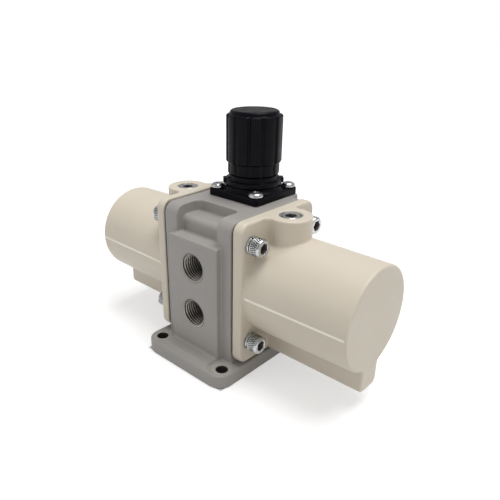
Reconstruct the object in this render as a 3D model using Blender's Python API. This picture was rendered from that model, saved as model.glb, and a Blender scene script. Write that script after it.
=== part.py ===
"""Air pressure booster: a centre body on a foot, two cylinder covers bolted to it, and a governor with a knob on top.

Inside are the double piston, the switching valve, four check valves and the governor's own valve.
X runs along the cylinders, -Y is the face with the ports, Z is up and the foot stands on Z = 0.
"""

import math

import bmesh
import bpy
from mathutils import Vector

MM = 0.001
WELD = 1e-6

# Fits between pieces, in millimetres like every size below.
SEAT = 0.25
RUNNING = 0.3

# Whole booster.
HALF_LENGTH = 86.5
SEAM_X = 24.0
GASKET_THICK = 0.6
BODY_X = SEAM_X - GASKET_THICK / 2 - SEAT
COVER_X = SEAM_X + GASKET_THICK / 2 + SEAT
FLANGE_X = 30.0
BORE_Z = 47.8
TOP_Z = BORE_Z + 36.8
BODY_Y = 28.3

# Foot.
FOOT_X = 29.6
FOOT_Y = 41.8
FOOT_Z = 7.8
FOOT_CORNER = 7.5
FOOT_HOLE = 3.1
FOOT_FACING = FOOT_HOLE + 2.4
FOOT_HOLE_X = 23.2
FOOT_HOLE_Y = 34.4
STEP_Z = FOOT_Z + 1.4

# Port panel, back panel and pocket.
PANEL_X = 17.2
PANEL_Y = 31.8
PANEL_TOP = TOP_Z - 13.8
POCKET_X = 14.2
POCKET_CORNER = 3.6
POCKET_REAR_Y = -11.8
POCKET_FLOOR_Z = TOP_Z - 5.8
POCKET_STEP_Y = -23.6
POCKET_ROUND = 3.0

# Ports and passages.
PORT_HOLE = 6.6
PORT_MOUTH = 7.9
PORT_DEPTH = 13.5
PORT_TAPER = 0.4
INLET_Z = BORE_Z + 8.0
OUTLET_Z = BORE_Z - 18.1
EXHAUST_HOLE = 5.0

# Covers.
BORE = 23.0
BORE_END_X = HALF_LENGTH - 4.5
BARREL_NEAR = 26.6
BARREL_FAR = 25.8
BOSS_HALF = 7.0
BOSS_DROP = 37.7
BOSS_CORNER = 2.6
BOSS_FILLET = 2.2
CHANNEL_Z = BORE_Z - BOSS_DROP + 5.9
CHANNEL = 2.2
END_EDGE = 1.1
FLANGE_BOTTOM = STEP_Z + 0.4
FLANGE_CORNER = 5.4
FLANGE_EDGE = 1.2
GAUGE_X = 36.2
GAUGE_BOSS = 10.9
GAUGE_WEB = 3.4
GAUGE_HOLE = 5.0
GAUGE_MOUTH = 5.8

# Cover bolts.
BOLT_Y = 21.0
BOLT_RISE = 26.2
BOLT_SHANK = 2.75
BOLT_HEAD = 5.0
BOLT_HEAD_LONG = 5.8
BOLT_SOCKET = 2.9
WASHER_THICK = 1.5
WASHER_OUT = 5.1
BOLT_HOLE = BOLT_SHANK + RUNNING
BOLT_END_X = SEAM_X - 8.0

# Double piston.
HALF_STROKE = 18.0
SPOOL_SHIFT = 2.0
PIN_CLEAR = 3.0
ROD = 5.0
ROD_END = 4.0
PISTON = BORE - 0.6
PISTON_THICK = 9.0
PISTON_IN_X = SEAM_X + PIN_CLEAR + HALF_STROKE
SEAL_GROOVE = 20.0
SEAL_WIDE = 3.4
NUT_THICK = 5.0
NUT_CORNER = 7.2
ROD_SEAL_OUT = 7.7
ROD_SEAL_LONG = 5.0

# Switching valve, and the drive air passages from its sleeve.
VALVE_Y = 12.5
DRIVE_X = SEAM_X - 10.5
FEED_X = 9.0
VALVE_Z = BORE_Z - 12.5
SLEEVE = 6.0
SLEEVE_IN = 4.0
SPOOL = SLEEVE_IN - RUNNING
SPOOL_NECK = 2.2
SPOOL_X = SEAM_X - 9.0
PIN = 1.6
PIN_HEAD_X = 2.4
PIN_TIP_X = SEAM_X + PIN_CLEAR + SPOOL_SHIFT - RUNNING

# Check valves.
CHECK_Y = -12.5
CHECK_INLET_Z = BORE_Z + 10.0
CHECK_OUTLET_Z = BORE_Z - 12.0
CHECK_POCKET = 5.0
CHECK_DEEP_X = SEAM_X - 10.0
CHECK_HOLE = 2.5
CHECK_DISC = 2.0

# Governor.
KNOB_Y = 14.2
PLATE_HALF = 16.8
PLATE_CORNER = 1.5
PLATE_THICK = 3.8
PLATE_Z = TOP_Z + SEAT
SCREW_STEP = PLATE_HALF - 3.5
SCREW_SHANK = 1.9
SCREW_HEAD = 3.7
SCREW_DOME = 2.4
BONNET_NECK = PLATE_HALF - 3.2
RING_LOW_Z = PLATE_Z + 6.1
RING_TOP_Z = RING_LOW_Z + 2.9
RING = BONNET_NECK + 1.4
RING_LUG = RING + 1.0
LUG_HALF = 2.4
BONNET_STEM = BONNET_NECK - 2.2
BONNET_TOP_Z = RING_TOP_Z + 15.0
BONNET_CAVITY = BONNET_STEM - 1.8
CAVITY_TOP_Z = BONNET_TOP_Z - 3.0
KNOB_BOTTOM_Z = RING_TOP_Z + 5.4
KNOB_TALL = 29.5
KNOB_TOP_Z = KNOB_BOTTOM_Z + KNOB_TALL
GRIP_Z = KNOB_BOTTOM_Z + 3.9
GRIP_TOP_Z = KNOB_TOP_Z - 2.1
KNOB_INNER = BONNET_STEM + 0.5
KNOB_SKIRT = KNOB_INNER + 1.6
GRIP = KNOB_SKIRT + 1.0
KNOB_CAP = KNOB_SKIRT - 0.8
CAP_EDGE = 1.0
KNOB_RIBS = 12
KNOB_LIFT = 2.5
STEM = 3.0
STEM_COLLAR = 5.2
HUB_HEX = 5.0
HUB_TOP_Z = KNOB_TOP_Z - 8.0
NUT_TRAVEL = 4.0
SPRING_NUT_THICK = 2.4
NUT_LOW_Z = CAVITY_TOP_Z - NUT_TRAVEL - SPRING_NUT_THICK - 0.6
SCREW_LOW_Z = NUT_LOW_Z - NUT_TRAVEL - 3.8
SPRING_COIL = BONNET_CAVITY - 2.6
SPRING_WIRE = 0.95
SPRING_TURNS = 4.0
RECESS = BONNET_CAVITY + 2.4
RECESS_Z = TOP_Z - 6.0
GOV_DISC_Z = RECESS_Z + 1.6
GOV_DISC_THICK = 3.0
GOV_CHAMBER = 6.0
GOV_CHAMBER_Z = RECESS_Z - 19.8
GOV_SEAT_Z = RECESS_Z - 7.4
GOV_SEAT_THICK = 3.0
GOV_SEAT_HOLE = 3.0
GOV_POPPET = 4.6
GOV_POPPET_THICK = 2.6

# Facets round each circle.
FINE_COUNT = 32
ROUND_COUNT = 20
SMALL_COUNT = 12
TINY_COUNT = 8
COIL_STEPS = 9
COIL_SIDES = 5

# Finishes: colour, roughness, metallic.
CREAM = ((0.72, 0.66, 0.54), 0.42, 0.0)
GREY = ((0.28, 0.27, 0.25), 0.48, 0.0)
BLACK = ((0.012, 0.012, 0.014), 0.32, 0.0)
ZINC = ((0.66, 0.67, 0.68), 0.28, 1.0)
RUBBER = ((0.015, 0.015, 0.015), 0.7, 0.0)
STEEL = ((0.55, 0.55, 0.56), 0.3, 1.0)
ALUMINIUM = ((0.75, 0.75, 0.76), 0.38, 1.0)
BRASS = ((0.72, 0.53, 0.22), 0.3, 1.0)
BRONZE = ((0.5, 0.34, 0.18), 0.65, 1.0)


def clear_scene():
    """Removes everything the scene starts with."""
    for obj in list(bpy.data.objects):
        bpy.data.objects.remove(obj, do_unlink=True)


def place(axis, u, v, along):
    """Returns the point at u, v across an axis and at a distance along it."""
    if axis == "X":
        return (along, u, v)
    if axis == "Y":
        return (u, along, v)
    return (u, v, along)


def make_object(name, points, faces):
    """Makes one closed mesh object from points in millimetres."""
    mesh = bpy.data.meshes.new(name)
    mesh.from_pydata([(x * MM, y * MM, z * MM) for x, y, z in points], [], faces)
    shape = bmesh.new()
    shape.from_mesh(mesh)
    bmesh.ops.remove_doubles(shape, verts=shape.verts, dist=WELD)
    bmesh.ops.recalc_face_normals(shape, faces=shape.faces)
    shape.to_mesh(mesh)
    shape.free()
    obj = bpy.data.objects.new(name, mesh)
    bpy.context.scene.collection.objects.link(obj)
    return obj


def loft(name, rings, closed=False):
    """Skins rings of equal point counts, capped at both ends unless the last meets the first."""
    count = len(rings[0])
    points = [point for ring in rings for point in ring]
    faces = []
    spans = len(rings) if closed else len(rings) - 1
    for i in range(spans):
        near = i * count
        far = ((i + 1) % len(rings)) * count
        for j in range(count):
            k = (j + 1) % count
            faces.append((near + j, near + k, far + k, far + j))
    if not closed:
        faces.append(tuple(range(count)))
        faces.append(tuple(range(len(points) - count, len(points))))
    return make_object(name, points, faces)


def prism(name, axis, outline, start, end):
    """Stretches an outline along an axis from start to end."""
    return loft(name, [[place(axis, u, v, w) for u, v in outline] for w in (start, end)])


def turned(name, axis, centre, profile, sides, hollow=False):
    """Turns (radius, along) steps round an axis. A hollow profile closes on itself."""
    rings = []
    for radius, along in profile:
        ring = []
        for i in range(sides):
            angle = math.tau * i / sides
            u = centre[0] + radius * math.cos(angle)
            v = centre[1] + radius * math.sin(angle)
            ring.append(place(axis, u, v, along))
        rings.append(ring)
    return loft(name, rings, hollow)


def drill(axis, centre, radius, start, end, sides=TINY_COUNT):
    """A plain round cutter."""
    return turned("cutter", axis, centre, [(radius, start), (radius, end)], sides)


def arc(centre, radius, start, end, steps):
    """Points on an arc, with its angles in degrees."""
    points = []
    for i in range(steps + 1):
        angle = math.radians(start + (end - start) * i / steps)
        points.append((centre[0] + radius * math.cos(angle), centre[1] + radius * math.sin(angle)))
    return points


def round_rect(low_u, high_u, low_v, high_v, corner, steps=4):
    """A rectangle with rounded corners."""
    points = arc((high_u - corner, low_v + corner), corner, -90, 0, steps)
    points += arc((high_u - corner, high_v - corner), corner, 0, 90, steps)
    points += arc((low_u + corner, high_v - corner), corner, 90, 180, steps)
    points += arc((low_u + corner, low_v + corner), corner, 180, 270, steps)
    return points


def hexagon(centre, corner, turn=0.0):
    """The corners of a hexagon."""
    return arc(centre, corner, turn, turn + 300, 5)


def bevelled_slab(name, axis, bounds, corner, start, end, start_edge, end_edge):
    """A rounded slab whose two end edges are taken down by the given amounts."""
    stations = []
    if start_edge:
        stations.append((start, start_edge))
        stations.append((start + start_edge * 0.3, start_edge * 0.3))
        stations.append((start + start_edge, 0.0))
    else:
        stations.append((start, 0.0))
    if end_edge:
        stations.append((end - end_edge, 0.0))
        stations.append((end - end_edge * 0.3, end_edge * 0.3))
        stations.append((end, end_edge))
    else:
        stations.append((end, 0.0))
    rings = []
    for along, inset in stations:
        low_u, high_u, low_v, high_v = bounds
        outline = round_rect(low_u + inset, high_u - inset, low_v + inset, high_v - inset, corner - inset)
        rings.append([place(axis, u, v, along) for u, v in outline])
    return loft(name, rings)


def settle(obj):
    """Turns a shape with its modifiers into a plain mesh."""
    graph = bpy.context.evaluated_depsgraph_get()
    mesh = bpy.data.meshes.new_from_object(obj.evaluated_get(graph))
    obj.modifiers.clear()
    obj.data = mesh


def combine(target, operation, others):
    """Joins, cuts or trims a shape by each of the others, then drops them."""
    group = bpy.data.collections.new("tools")
    bpy.context.scene.collection.children.link(group)
    for other in others:
        bpy.context.scene.collection.objects.unlink(other)
        group.objects.link(other)
        other.hide_render = True
        other.display_type = "WIRE"
    modifier = target.modifiers.new(operation.lower(), "BOOLEAN")
    modifier.operation = operation
    modifier.solver = "EXACT"
    if len(others) == 1:
        modifier.object = others[0]
    else:
        modifier.operand_type = "COLLECTION"
        modifier.collection = group
    settle(target)
    for other in others:
        bpy.data.objects.remove(other, do_unlink=True)
    bpy.data.collections.remove(group)
    return target


def finish(obj, look, pivot=(0.0, 0.0, 0.0), angle=32.0):
    """Sets the origin on the joint axis, the shading and the material."""
    offset = Vector(pivot) * MM
    for vertex in obj.data.vertices:
        vertex.co -= offset
    obj.location = offset
    obj.data.shade_smooth()
    obj.data.set_sharp_from_angle(angle=math.radians(angle))
    colour, roughness, metallic = look
    material = bpy.data.materials.new(obj.name)
    material.use_nodes = True
    shader = material.node_tree.nodes["Principled BSDF"]
    shader.inputs["Base Color"].default_value = (*colour, 1.0)
    shader.inputs["Roughness"].default_value = roughness
    shader.inputs["Metallic"].default_value = metallic
    obj.data.materials.clear()
    obj.data.materials.append(material)
    return obj


# The four bolt places on one cover, as (y, z).
BOLT_PLACES = [(side * BOLT_Y, BORE_Z + rise * BOLT_RISE) for rise in (1, -1) for side in (-1, 1)]


def port_cutter(axis, centre, mouth_at, inward, hole, mouth, depth):
    """A cutter for a port: a chamfered mouth, a slightly tapered wall and a flat bottom."""
    profile = [
        (mouth + 1.0, mouth_at - inward),
        (mouth, mouth_at),
        (hole, mouth_at + inward * 0.9),
        (hole - PORT_TAPER, mouth_at + inward * depth),
    ]
    return turned("cutter", axis, centre, profile, ROUND_COUNT)


def foot_shapes():
    """The foot plate and the raised steps in front of and behind the body."""
    bounds = (-FOOT_X, FOOT_X, -FOOT_Y, FOOT_Y)
    shapes = [bevelled_slab("foot", "Z", bounds, FOOT_CORNER, 0.0, FOOT_Z, 0.0, 1.0)]
    for side in (-1, 1):
        outline = [
            (side * (BODY_Y - 4), FOOT_Z - 3),
            (side * (FOOT_Y - 1.2), FOOT_Z - 3),
            (side * (FOOT_Y - 1.2), FOOT_Z - 0.4),
            (side * (FOOT_Y - 3.6), STEP_Z),
            (side * (PANEL_Y + 1.0), STEP_Z),
            (side * (PANEL_Y + 0.25), STEP_Z + 0.3),
            (side * (PANEL_Y - 0.15), STEP_Z + 1.3),
            (side * (BODY_Y - 4), STEP_Z + 1.3),
        ]
        shapes.append(prism("step", "X", outline, -PANEL_X + 0.6, PANEL_X - 0.6))
    return shapes


def pocket_cutter():
    """The stepped pocket at the top of the front, with rounded rear corners."""
    outline = [(-BODY_Y - 20, PANEL_TOP), (POCKET_STEP_Y, PANEL_TOP)]
    centre = (POCKET_STEP_Y + POCKET_ROUND, POCKET_FLOOR_Z - POCKET_ROUND)
    outline += arc(centre, POCKET_ROUND, 180, 90, 5)
    outline += [(POCKET_REAR_Y + 3, POCKET_FLOOR_Z), (POCKET_REAR_Y + 3, TOP_Z + 10)]
    outline += [(-BODY_Y - 20, TOP_Z + 10)]
    cutter = prism("cutter", "X", outline, -POCKET_X - 3, POCKET_X + 3)
    plan = round_rect(-POCKET_X, POCKET_X, -BODY_Y - 22, POCKET_REAR_Y, POCKET_CORNER, 6)
    limit = prism("limit", "Z", plan, PANEL_TOP - 5, TOP_Z + 20)
    return combine(cutter, "INTERSECT", [limit])


def front_port_cutters():
    """The two threaded ports and the passages from them to the check valves and the governor."""
    bottom = -PANEL_Y + PORT_DEPTH
    cutters = []
    for port_z, passage_z, check_z in ((INLET_Z, INLET_Z + 1, CHECK_INLET_Z), (OUTLET_Z, OUTLET_Z + 2, CHECK_OUTLET_Z)):
        cutters.append(port_cutter("Y", (0, port_z), -PANEL_Y, 1, PORT_HOLE, PORT_MOUTH, PORT_DEPTH))
        cutters.append(drill("Y", (0, passage_z), 3.5, bottom - 1, CHECK_Y + 2.0))
        cutters.append(drill("X", (CHECK_Y, check_z), CHECK_HOLE, -CHECK_DEEP_X - 1, CHECK_DEEP_X + 1))
    feed_z = INLET_Z + 4.5
    cutters.append(drill("Y", (0, feed_z), 1.8, bottom - 1, KNOB_Y - GOV_CHAMBER + 2))
    return cutters


def end_face_cutters(side):
    """What is bored into one end face of the body."""
    face = side * (BODY_X + 1)
    cutters = [drill("X", (0, BORE_Z), ROD_SEAL_OUT + RUNNING, side * (BODY_X - 10), face, SMALL_COUNT)]
    for place_y, place_z in BOLT_PLACES:
        cutters.append(drill("X", (place_y, place_z), BOLT_HOLE, side * (BOLT_END_X - 1), face, 12))
    for check_z in (CHECK_INLET_Z, CHECK_OUTLET_Z):
        cutters.append(drill("X", (CHECK_Y, check_z), CHECK_POCKET, side * CHECK_DEEP_X, face, SMALL_COUNT))
    cutters.append(drill("X", (0, CHANNEL_Z), CHANNEL, side * (DRIVE_X - 1.5), face))
    cutters.append(drill("Y", (side * DRIVE_X, CHANNEL_Z), 1.8, -1, VALVE_Y + 2.4))
    cutters.append(drill("Z", (side * DRIVE_X, VALVE_Y), 1.5, CHANNEL_Z, VALVE_Z - 3))
    return cutters


def top_cutters():
    """The governor's bores, the drive air passage down from it and the bonnet's screw holes."""
    cutters = [drill("Z", (0, KNOB_Y), RECESS, RECESS_Z, TOP_Z + 5, ROUND_COUNT)]
    cutters.append(drill("Z", (0, KNOB_Y), GOV_CHAMBER, GOV_CHAMBER_Z, RECESS_Z + 1, SMALL_COUNT))
    cutters.append(drill("Z", (FEED_X, VALVE_Y), 1.8, VALVE_Z + 2, RECESS_Z + 1))
    for x in (-SCREW_STEP, SCREW_STEP):
        for y in (-SCREW_STEP, SCREW_STEP):
            cutters.append(drill("Z", (x, KNOB_Y + y), SCREW_SHANK + RUNNING, TOP_Z - 9, TOP_Z + 5))
    return cutters


def foot_hole_cutters():
    """The four holes of the foot, with a shallow face round each."""
    cutters = []
    for x in (-FOOT_HOLE_X, FOOT_HOLE_X):
        for y in (-FOOT_HOLE_Y, FOOT_HOLE_Y):
            cutters.append(drill("Z", (x, y), FOOT_HOLE, -5, FOOT_Z + 5, SMALL_COUNT))
            cutters.append(drill("Z", (x, y), FOOT_FACING, FOOT_Z - 0.3, FOOT_Z + 5, SMALL_COUNT))
    return cutters


def center_body():
    """The centre body with its foot, ports, pocket and bores, as one casting."""
    bounds = (-BODY_Y, BODY_Y, FOOT_Z - 6, TOP_Z)
    body = bevelled_slab("center_body", "X", bounds, 5.5, -BODY_X, BODY_X, 0.9, 0.9)
    front = (-PANEL_X, PANEL_X, FOOT_Z - 2, PANEL_TOP)
    panel = bevelled_slab("panel", "Y", front, 1.0, -PANEL_Y, -BODY_Y + 5, 0.7, 0.0)
    back = (-PANEL_X, PANEL_X, FOOT_Z - 2, TOP_Z)
    rear = bevelled_slab("rear", "Y", back, 1.0, BODY_Y - 7, PANEL_Y, 0.0, 0.7)
    combine(body, "UNION", [panel, rear, *foot_shapes()])
    cutters = [pocket_cutter(), *front_port_cutters(), *top_cutters(), *foot_hole_cutters()]
    cutters += end_face_cutters(-1)
    cutters += end_face_cutters(1)
    cutters.append(drill("X", (0, BORE_Z), ROD + 0.5, -BODY_X, BODY_X, SMALL_COUNT))
    cutters.append(drill("X", (VALVE_Y, VALVE_Z), SLEEVE + RUNNING, -BODY_X - 1, BODY_X + 1, SMALL_COUNT))
    cutters.append(port_cutter("Y", (0, VALVE_Z), PANEL_Y, -1, EXHAUST_HOLE, EXHAUST_HOLE + 0.8, 9.0))
    cutters.append(drill("Y", (0, VALVE_Z), 2.4, VALVE_Y + 3, PANEL_Y - 8))
    combine(body, "DIFFERENCE", cutters)
    return finish(body, GREY)


def barrel_outline(radius, inset):
    """The cylinder's outline across X: a circle with the air channel's boss below, as (y, z)."""
    half = BOSS_HALF - inset
    drop = BOSS_DROP - inset
    corner = BOSS_CORNER
    fillet = BOSS_FILLET + inset
    radius -= inset
    centre_y = half + fillet
    centre_z = -math.sqrt((radius + fillet) ** 2 - centre_y**2)
    meet = math.degrees(math.atan2(centre_z, centre_y))
    points = arc((half - corner, -drop + corner), corner, -90, 0, 4)
    points += arc((centre_y, centre_z), fillet, 180, 180 + meet, 3)
    points += arc((0.0, 0.0), radius, meet, 180 - meet, FINE_COUNT)[1:-1]
    points += arc((-centre_y, centre_z), fillet, -meet, 0, 3)
    points += arc((-half + corner, -drop + corner), corner, 180, 270, 4)
    return [(y, z + BORE_Z) for y, z in points]


def barrel(side):
    """The solid cylinder of one cover, tapering a little to its rounded end."""
    stations = [
        (FLANGE_X - 2.0, BARREL_NEAR, 0.0),
        (HALF_LENGTH - END_EDGE, BARREL_FAR, 0.0),
        (HALF_LENGTH - END_EDGE * 0.3, BARREL_FAR, END_EDGE * 0.3),
        (HALF_LENGTH, BARREL_FAR, END_EDGE),
    ]
    rings = []
    for along, radius, inset in stations:
        rings.append([(side * along, y, z) for y, z in barrel_outline(radius, inset)])
    return loft("barrel", rings)


def gauge_boss(side):
    """The gauge boss on top of a cover, with concave webs to the flange, as a prism along Z."""
    reach = GAUGE_BOSS + GAUGE_WEB
    web_x = FLANGE_X + GAUGE_WEB
    web_y = math.sqrt(reach**2 - (web_x - GAUGE_X) ** 2)
    meet = math.degrees(math.atan2(web_y, web_x - GAUGE_X))
    outline = [(FLANGE_X - 2.0, -web_y), (FLANGE_X, -web_y)]
    outline += arc((web_x, -web_y), GAUGE_WEB, 180, 180 - meet, 5)[1:]
    outline += arc((GAUGE_X, 0.0), GAUGE_BOSS, -meet, meet, 28)[1:-1]
    outline += arc((web_x, web_y), GAUGE_WEB, 180 + meet, 180, 5)
    outline += [(FLANGE_X - 2.0, web_y)]
    rings = []
    for inset, height in ((0.0, BORE_Z + 17.0), (0.0, TOP_Z - 0.4), (0.03, TOP_Z)):
        scale = 1.0 - inset
        ring = []
        for x, y in outline:
            pulled = FLANGE_X - 2.0 + (x - FLANGE_X + 2.0) * scale
            ring.append((side * pulled, y * scale, height))
        rings.append(ring)
    return loft("boss", rings)


def parting_rib(side, face):
    """The fine raised line along one side of a cylinder."""
    outline = []
    near = BARREL_NEAR - 1.0
    start = FLANGE_X - 1.0
    end = HALF_LENGTH - END_EDGE
    rings = []
    for along, radius in ((start, near), (end, BARREL_FAR - 1.0)):
        outer = face * (radius + 1.25)
        inner = face * radius
        outline = [(inner, -0.5), (outer, -0.2), (outer, 0.2), (inner, 0.5)]
        rings.append([(side * along, y, BORE_Z + z) for y, z in outline])
    return loft("rib", rings)


def cover(name, side):
    """One cover: flange, cylinder, channel boss and gauge boss in one casting."""
    bounds = (-BODY_Y, BODY_Y, FLANGE_BOTTOM, TOP_Z)
    start, end = (COVER_X, FLANGE_X) if side > 0 else (-FLANGE_X, -COVER_X)
    start_edge, end_edge = (0.3, FLANGE_EDGE) if side > 0 else (FLANGE_EDGE, 0.3)
    flange = bevelled_slab(name, "X", bounds, FLANGE_CORNER, start, end, start_edge, end_edge)
    shapes = [barrel(side), gauge_boss(side), parting_rib(side, -1), parting_rib(side, 1)]
    combine(flange, "UNION", shapes)
    cutters = [drill("X", (0, BORE_Z), BORE, side * (COVER_X - 2), side * BORE_END_X, FINE_COUNT)]
    cutters.append(drill("X", (0, CHANNEL_Z), CHANNEL, side * (COVER_X - 1), side * (BORE_END_X - 1)))
    cutters.append(drill("Z", (side * (BORE_END_X - 3.5), 0), 1.8, CHANNEL_Z - 0.5, BORE_Z - BORE + 2))
    for place_y, place_z in BOLT_PLACES:
        cutters.append(drill("X", (place_y, place_z), BOLT_HOLE, side * (COVER_X - 1), side * (FLANGE_X + 3), 12))
        cutters.append(
            drill("X", (place_y, place_z), WASHER_OUT + 0.5, side * FLANGE_X, side * (FLANGE_X + 9), SMALL_COUNT)
        )
    mouth = [
        (GAUGE_MOUTH + 1, TOP_Z + 1),
        (GAUGE_MOUTH, TOP_Z),
        (GAUGE_HOLE, TOP_Z - 0.8),
        (GAUGE_HOLE, TOP_Z - 9.5),
    ]
    cutters.append(turned("cutter", "Z", (side * GAUGE_X, 0), mouth, 24))
    cutters.append(drill("Z", (side * GAUGE_X, 0), 1.5, BORE_Z + BORE - 3, TOP_Z - 9))
    combine(flange, "DIFFERENCE", cutters)
    return finish(flange, CREAM)


def gasket(name, side):
    """The thin seal between the body and one cover."""
    inset = 0.8
    outline = round_rect(-BODY_Y + inset, BODY_Y - inset, FLANGE_BOTTOM + inset, TOP_Z - inset, 4.6)
    middle = side * SEAM_X
    sheet = prism(name, "X", outline, middle - GASKET_THICK / 2, middle + GASKET_THICK / 2)
    low = middle - 3
    high = middle + 3
    cutters = [drill("X", (0, BORE_Z), BORE + 0.3, low, high, ROUND_COUNT)]
    cutters.append(drill("X", (0, CHANNEL_Z), CHANNEL, low, high))
    for place_y, place_z in BOLT_PLACES:
        cutters.append(drill("X", (place_y, place_z), BOLT_HOLE + 0.2, low, high, 12))
    combine(sheet, "DIFFERENCE", cutters)
    return finish(sheet, RUBBER)


def spring_washer(name, side, place_y, place_z):
    """A split washer under one bolt head."""
    low = FLANGE_X + SEAT
    high = low + WASHER_THICK
    inner = BOLT_SHANK + 0.35
    rings = []
    for i in range(17):
        angle = math.radians(97 + 346 * i / 16)
        ring = []
        for radius, along in ((inner, low), (WASHER_OUT, low), (WASHER_OUT, high), (inner, high)):
            y = place_y + radius * math.cos(angle)
            z = place_z + radius * math.sin(angle)
            ring.append((side * along, y, z))
        rings.append(ring)
    return finish(loft(name, rings), ZINC)


def cover_bolt(name, side, place_y, place_z):
    """A socket head bolt, its head standing off the flange by the washer."""
    seat = FLANGE_X + WASHER_THICK + 2 * SEAT
    top = seat + BOLT_HEAD_LONG
    profile = [
        (BOLT_SHANK - 0.5, BOLT_END_X),
        (BOLT_SHANK, BOLT_END_X + 0.5),
        (BOLT_SHANK, seat),
        (BOLT_HEAD - 0.3, seat),
        (BOLT_HEAD, seat + 0.3),
        (BOLT_HEAD, top - 0.7),
        (BOLT_HEAD - 0.7, top),
    ]
    placed = [(radius, side * along) for radius, along in profile]
    bolt = turned(name, "X", (place_y, place_z), placed, SMALL_COUNT)
    socket = hexagon((place_y, place_z), BOLT_SOCKET, 12)
    combine(bolt, "DIFFERENCE", [prism("cutter", "X", socket, side * (top - 3.2), side * (top + 1))])
    return finish(bolt, ZINC)


def gauge_plug(name, side):
    """The hollow-hexagon plug in a gauge port."""
    top = TOP_Z - 1.0
    radius = GAUGE_HOLE - 0.25
    profile = [(radius - 0.5, top - 7.5), (radius, top - 7.0), (radius, top - 0.4), (radius - 0.4, top)]
    plug = turned(name, "Z", (side * GAUGE_X, 0), profile, 24)
    socket = hexagon((side * GAUGE_X, 0), 2.9, 10)
    combine(plug, "DIFFERENCE", [prism("cutter", "Z", socket, top - 4.0, top + 1)])
    return finish(plug, STEEL)


def cover_sets():
    """Both covers with their seals, bolts, washers and plugs."""
    for side, word in ((-1, "left"), (1, "right")):
        cover("cover_" + word, side)
        gasket("gasket_" + word, side)
        gauge_plug("gauge_plug_" + word, side)
        for i, (place_y, place_z) in enumerate(BOLT_PLACES):
            cover_bolt(f"bolt_{word}_{i + 1}", side, place_y, place_z)
            spring_washer(f"washer_{word}_{i + 1}", side, place_y, place_z)


def piston_rod():
    """The rod through the body, stepped down where the pistons and nuts sit."""
    shoulder = PISTON_IN_X - SEAT
    end = PISTON_IN_X + PISTON_THICK + SEAT + NUT_THICK + 0.8
    profile = [
        (ROD_END - 0.4, -end),
        (ROD_END, -end + 0.4),
        (ROD_END, -shoulder),
        (ROD, -shoulder),
        (ROD, shoulder),
        (ROD_END, shoulder),
        (ROD_END, end - 0.4),
        (ROD_END - 0.4, end),
    ]
    rod = turned("piston_rod", "X", (0, BORE_Z), profile, SMALL_COUNT)
    return finish(rod, STEEL, (0, 0, BORE_Z))


def piston(name, side):
    """One piston with the groove for its seal, as a closed turned profile."""
    face = PISTON_IN_X
    back = face + PISTON_THICK
    groove = face + (PISTON_THICK - SEAL_WIDE) / 2 - RUNNING
    groove_end = back - (PISTON_THICK - SEAL_WIDE) / 2 + RUNNING
    profile = [
        (ROD_END + 0.25, face),
        (PISTON - 0.6, face),
        (PISTON, face + 0.6),
        (PISTON, groove),
        (SEAL_GROOVE, groove),
        (SEAL_GROOVE, groove_end),
        (PISTON, groove_end),
        (PISTON, back - 0.6),
        (PISTON - 0.6, back),
        (ROD_END + 0.25, back),
    ]
    placed = [(radius, side * along) for radius, along in profile]
    return finish(turned(name, "X", (0, BORE_Z), placed, ROUND_COUNT, True), ALUMINIUM, (0, 0, BORE_Z))


def piston_seal(name, side):
    """The rubber ring in a piston's groove."""
    middle = PISTON_IN_X + PISTON_THICK / 2
    low = middle - SEAL_WIDE / 2
    high = middle + SEAL_WIDE / 2
    inner = SEAL_GROOVE + 0.3
    outer = BORE - 0.3
    profile = [(inner, low), (outer - 0.5, low), (outer, middle), (outer - 0.5, high), (inner, high)]
    placed = [(radius, side * along) for radius, along in profile]
    return finish(turned(name, "X", (0, BORE_Z), placed, ROUND_COUNT, True), RUBBER, (0, 0, BORE_Z))


def piston_nut(name, side):
    """The nut that holds a piston on the rod."""
    start = PISTON_IN_X + PISTON_THICK + SEAT
    nut = prism(name, "X", hexagon((0, BORE_Z), NUT_CORNER), side * start, side * (start + NUT_THICK))
    hole = drill("X", (0, BORE_Z), ROD_END + 0.25, side * (start - 1), side * (start + NUT_THICK + 1), SMALL_COUNT)
    combine(nut, "DIFFERENCE", [hole])
    return finish(nut, ZINC, (0, 0, BORE_Z))


def rod_seal(name, side):
    """The ring that seals the rod at one end face of the body."""
    end = BODY_X - 0.6
    start = end - ROD_SEAL_LONG
    inner = ROD + RUNNING
    profile = [(inner, start), (ROD_SEAL_OUT, start), (ROD_SEAL_OUT, end), (inner + 0.8, end), (inner, end - 1.2)]
    placed = [(radius, side * along) for radius, along in profile]
    return finish(turned(name, "X", (0, BORE_Z), placed, SMALL_COUNT, True), RUBBER)


def piston_set():
    """The rod, both pistons with their seals and nuts, and the rod's seals in the body."""
    piston_rod()
    for side, word in ((-1, "left"), (1, "right")):
        piston("piston_" + word, side)
        piston_seal("piston_seal_" + word, side)
        piston_nut("piston_nut_" + word, side)
        rod_seal("rod_seal_" + word, side)


def valve_sleeve():
    """The fixed sleeve of the switching valve, with a cross hole at each passage."""
    end = BODY_X - 0.1
    profile = [(SLEEVE_IN, -end), (SLEEVE, -end), (SLEEVE, end), (SLEEVE_IN, end)]
    sleeve = turned("valve_sleeve", "X", (VALVE_Y, VALVE_Z), profile, SMALL_COUNT, True)
    cutters = []
    for middle in (-DRIVE_X, 0.0, FEED_X, DRIVE_X):
        cutters.append(drill("Z", (middle, VALVE_Y), 1.0, VALVE_Z - 9, VALVE_Z + 9, 8))
    combine(sleeve, "DIFFERENCE", cutters)
    return finish(sleeve, BRASS)


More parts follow.
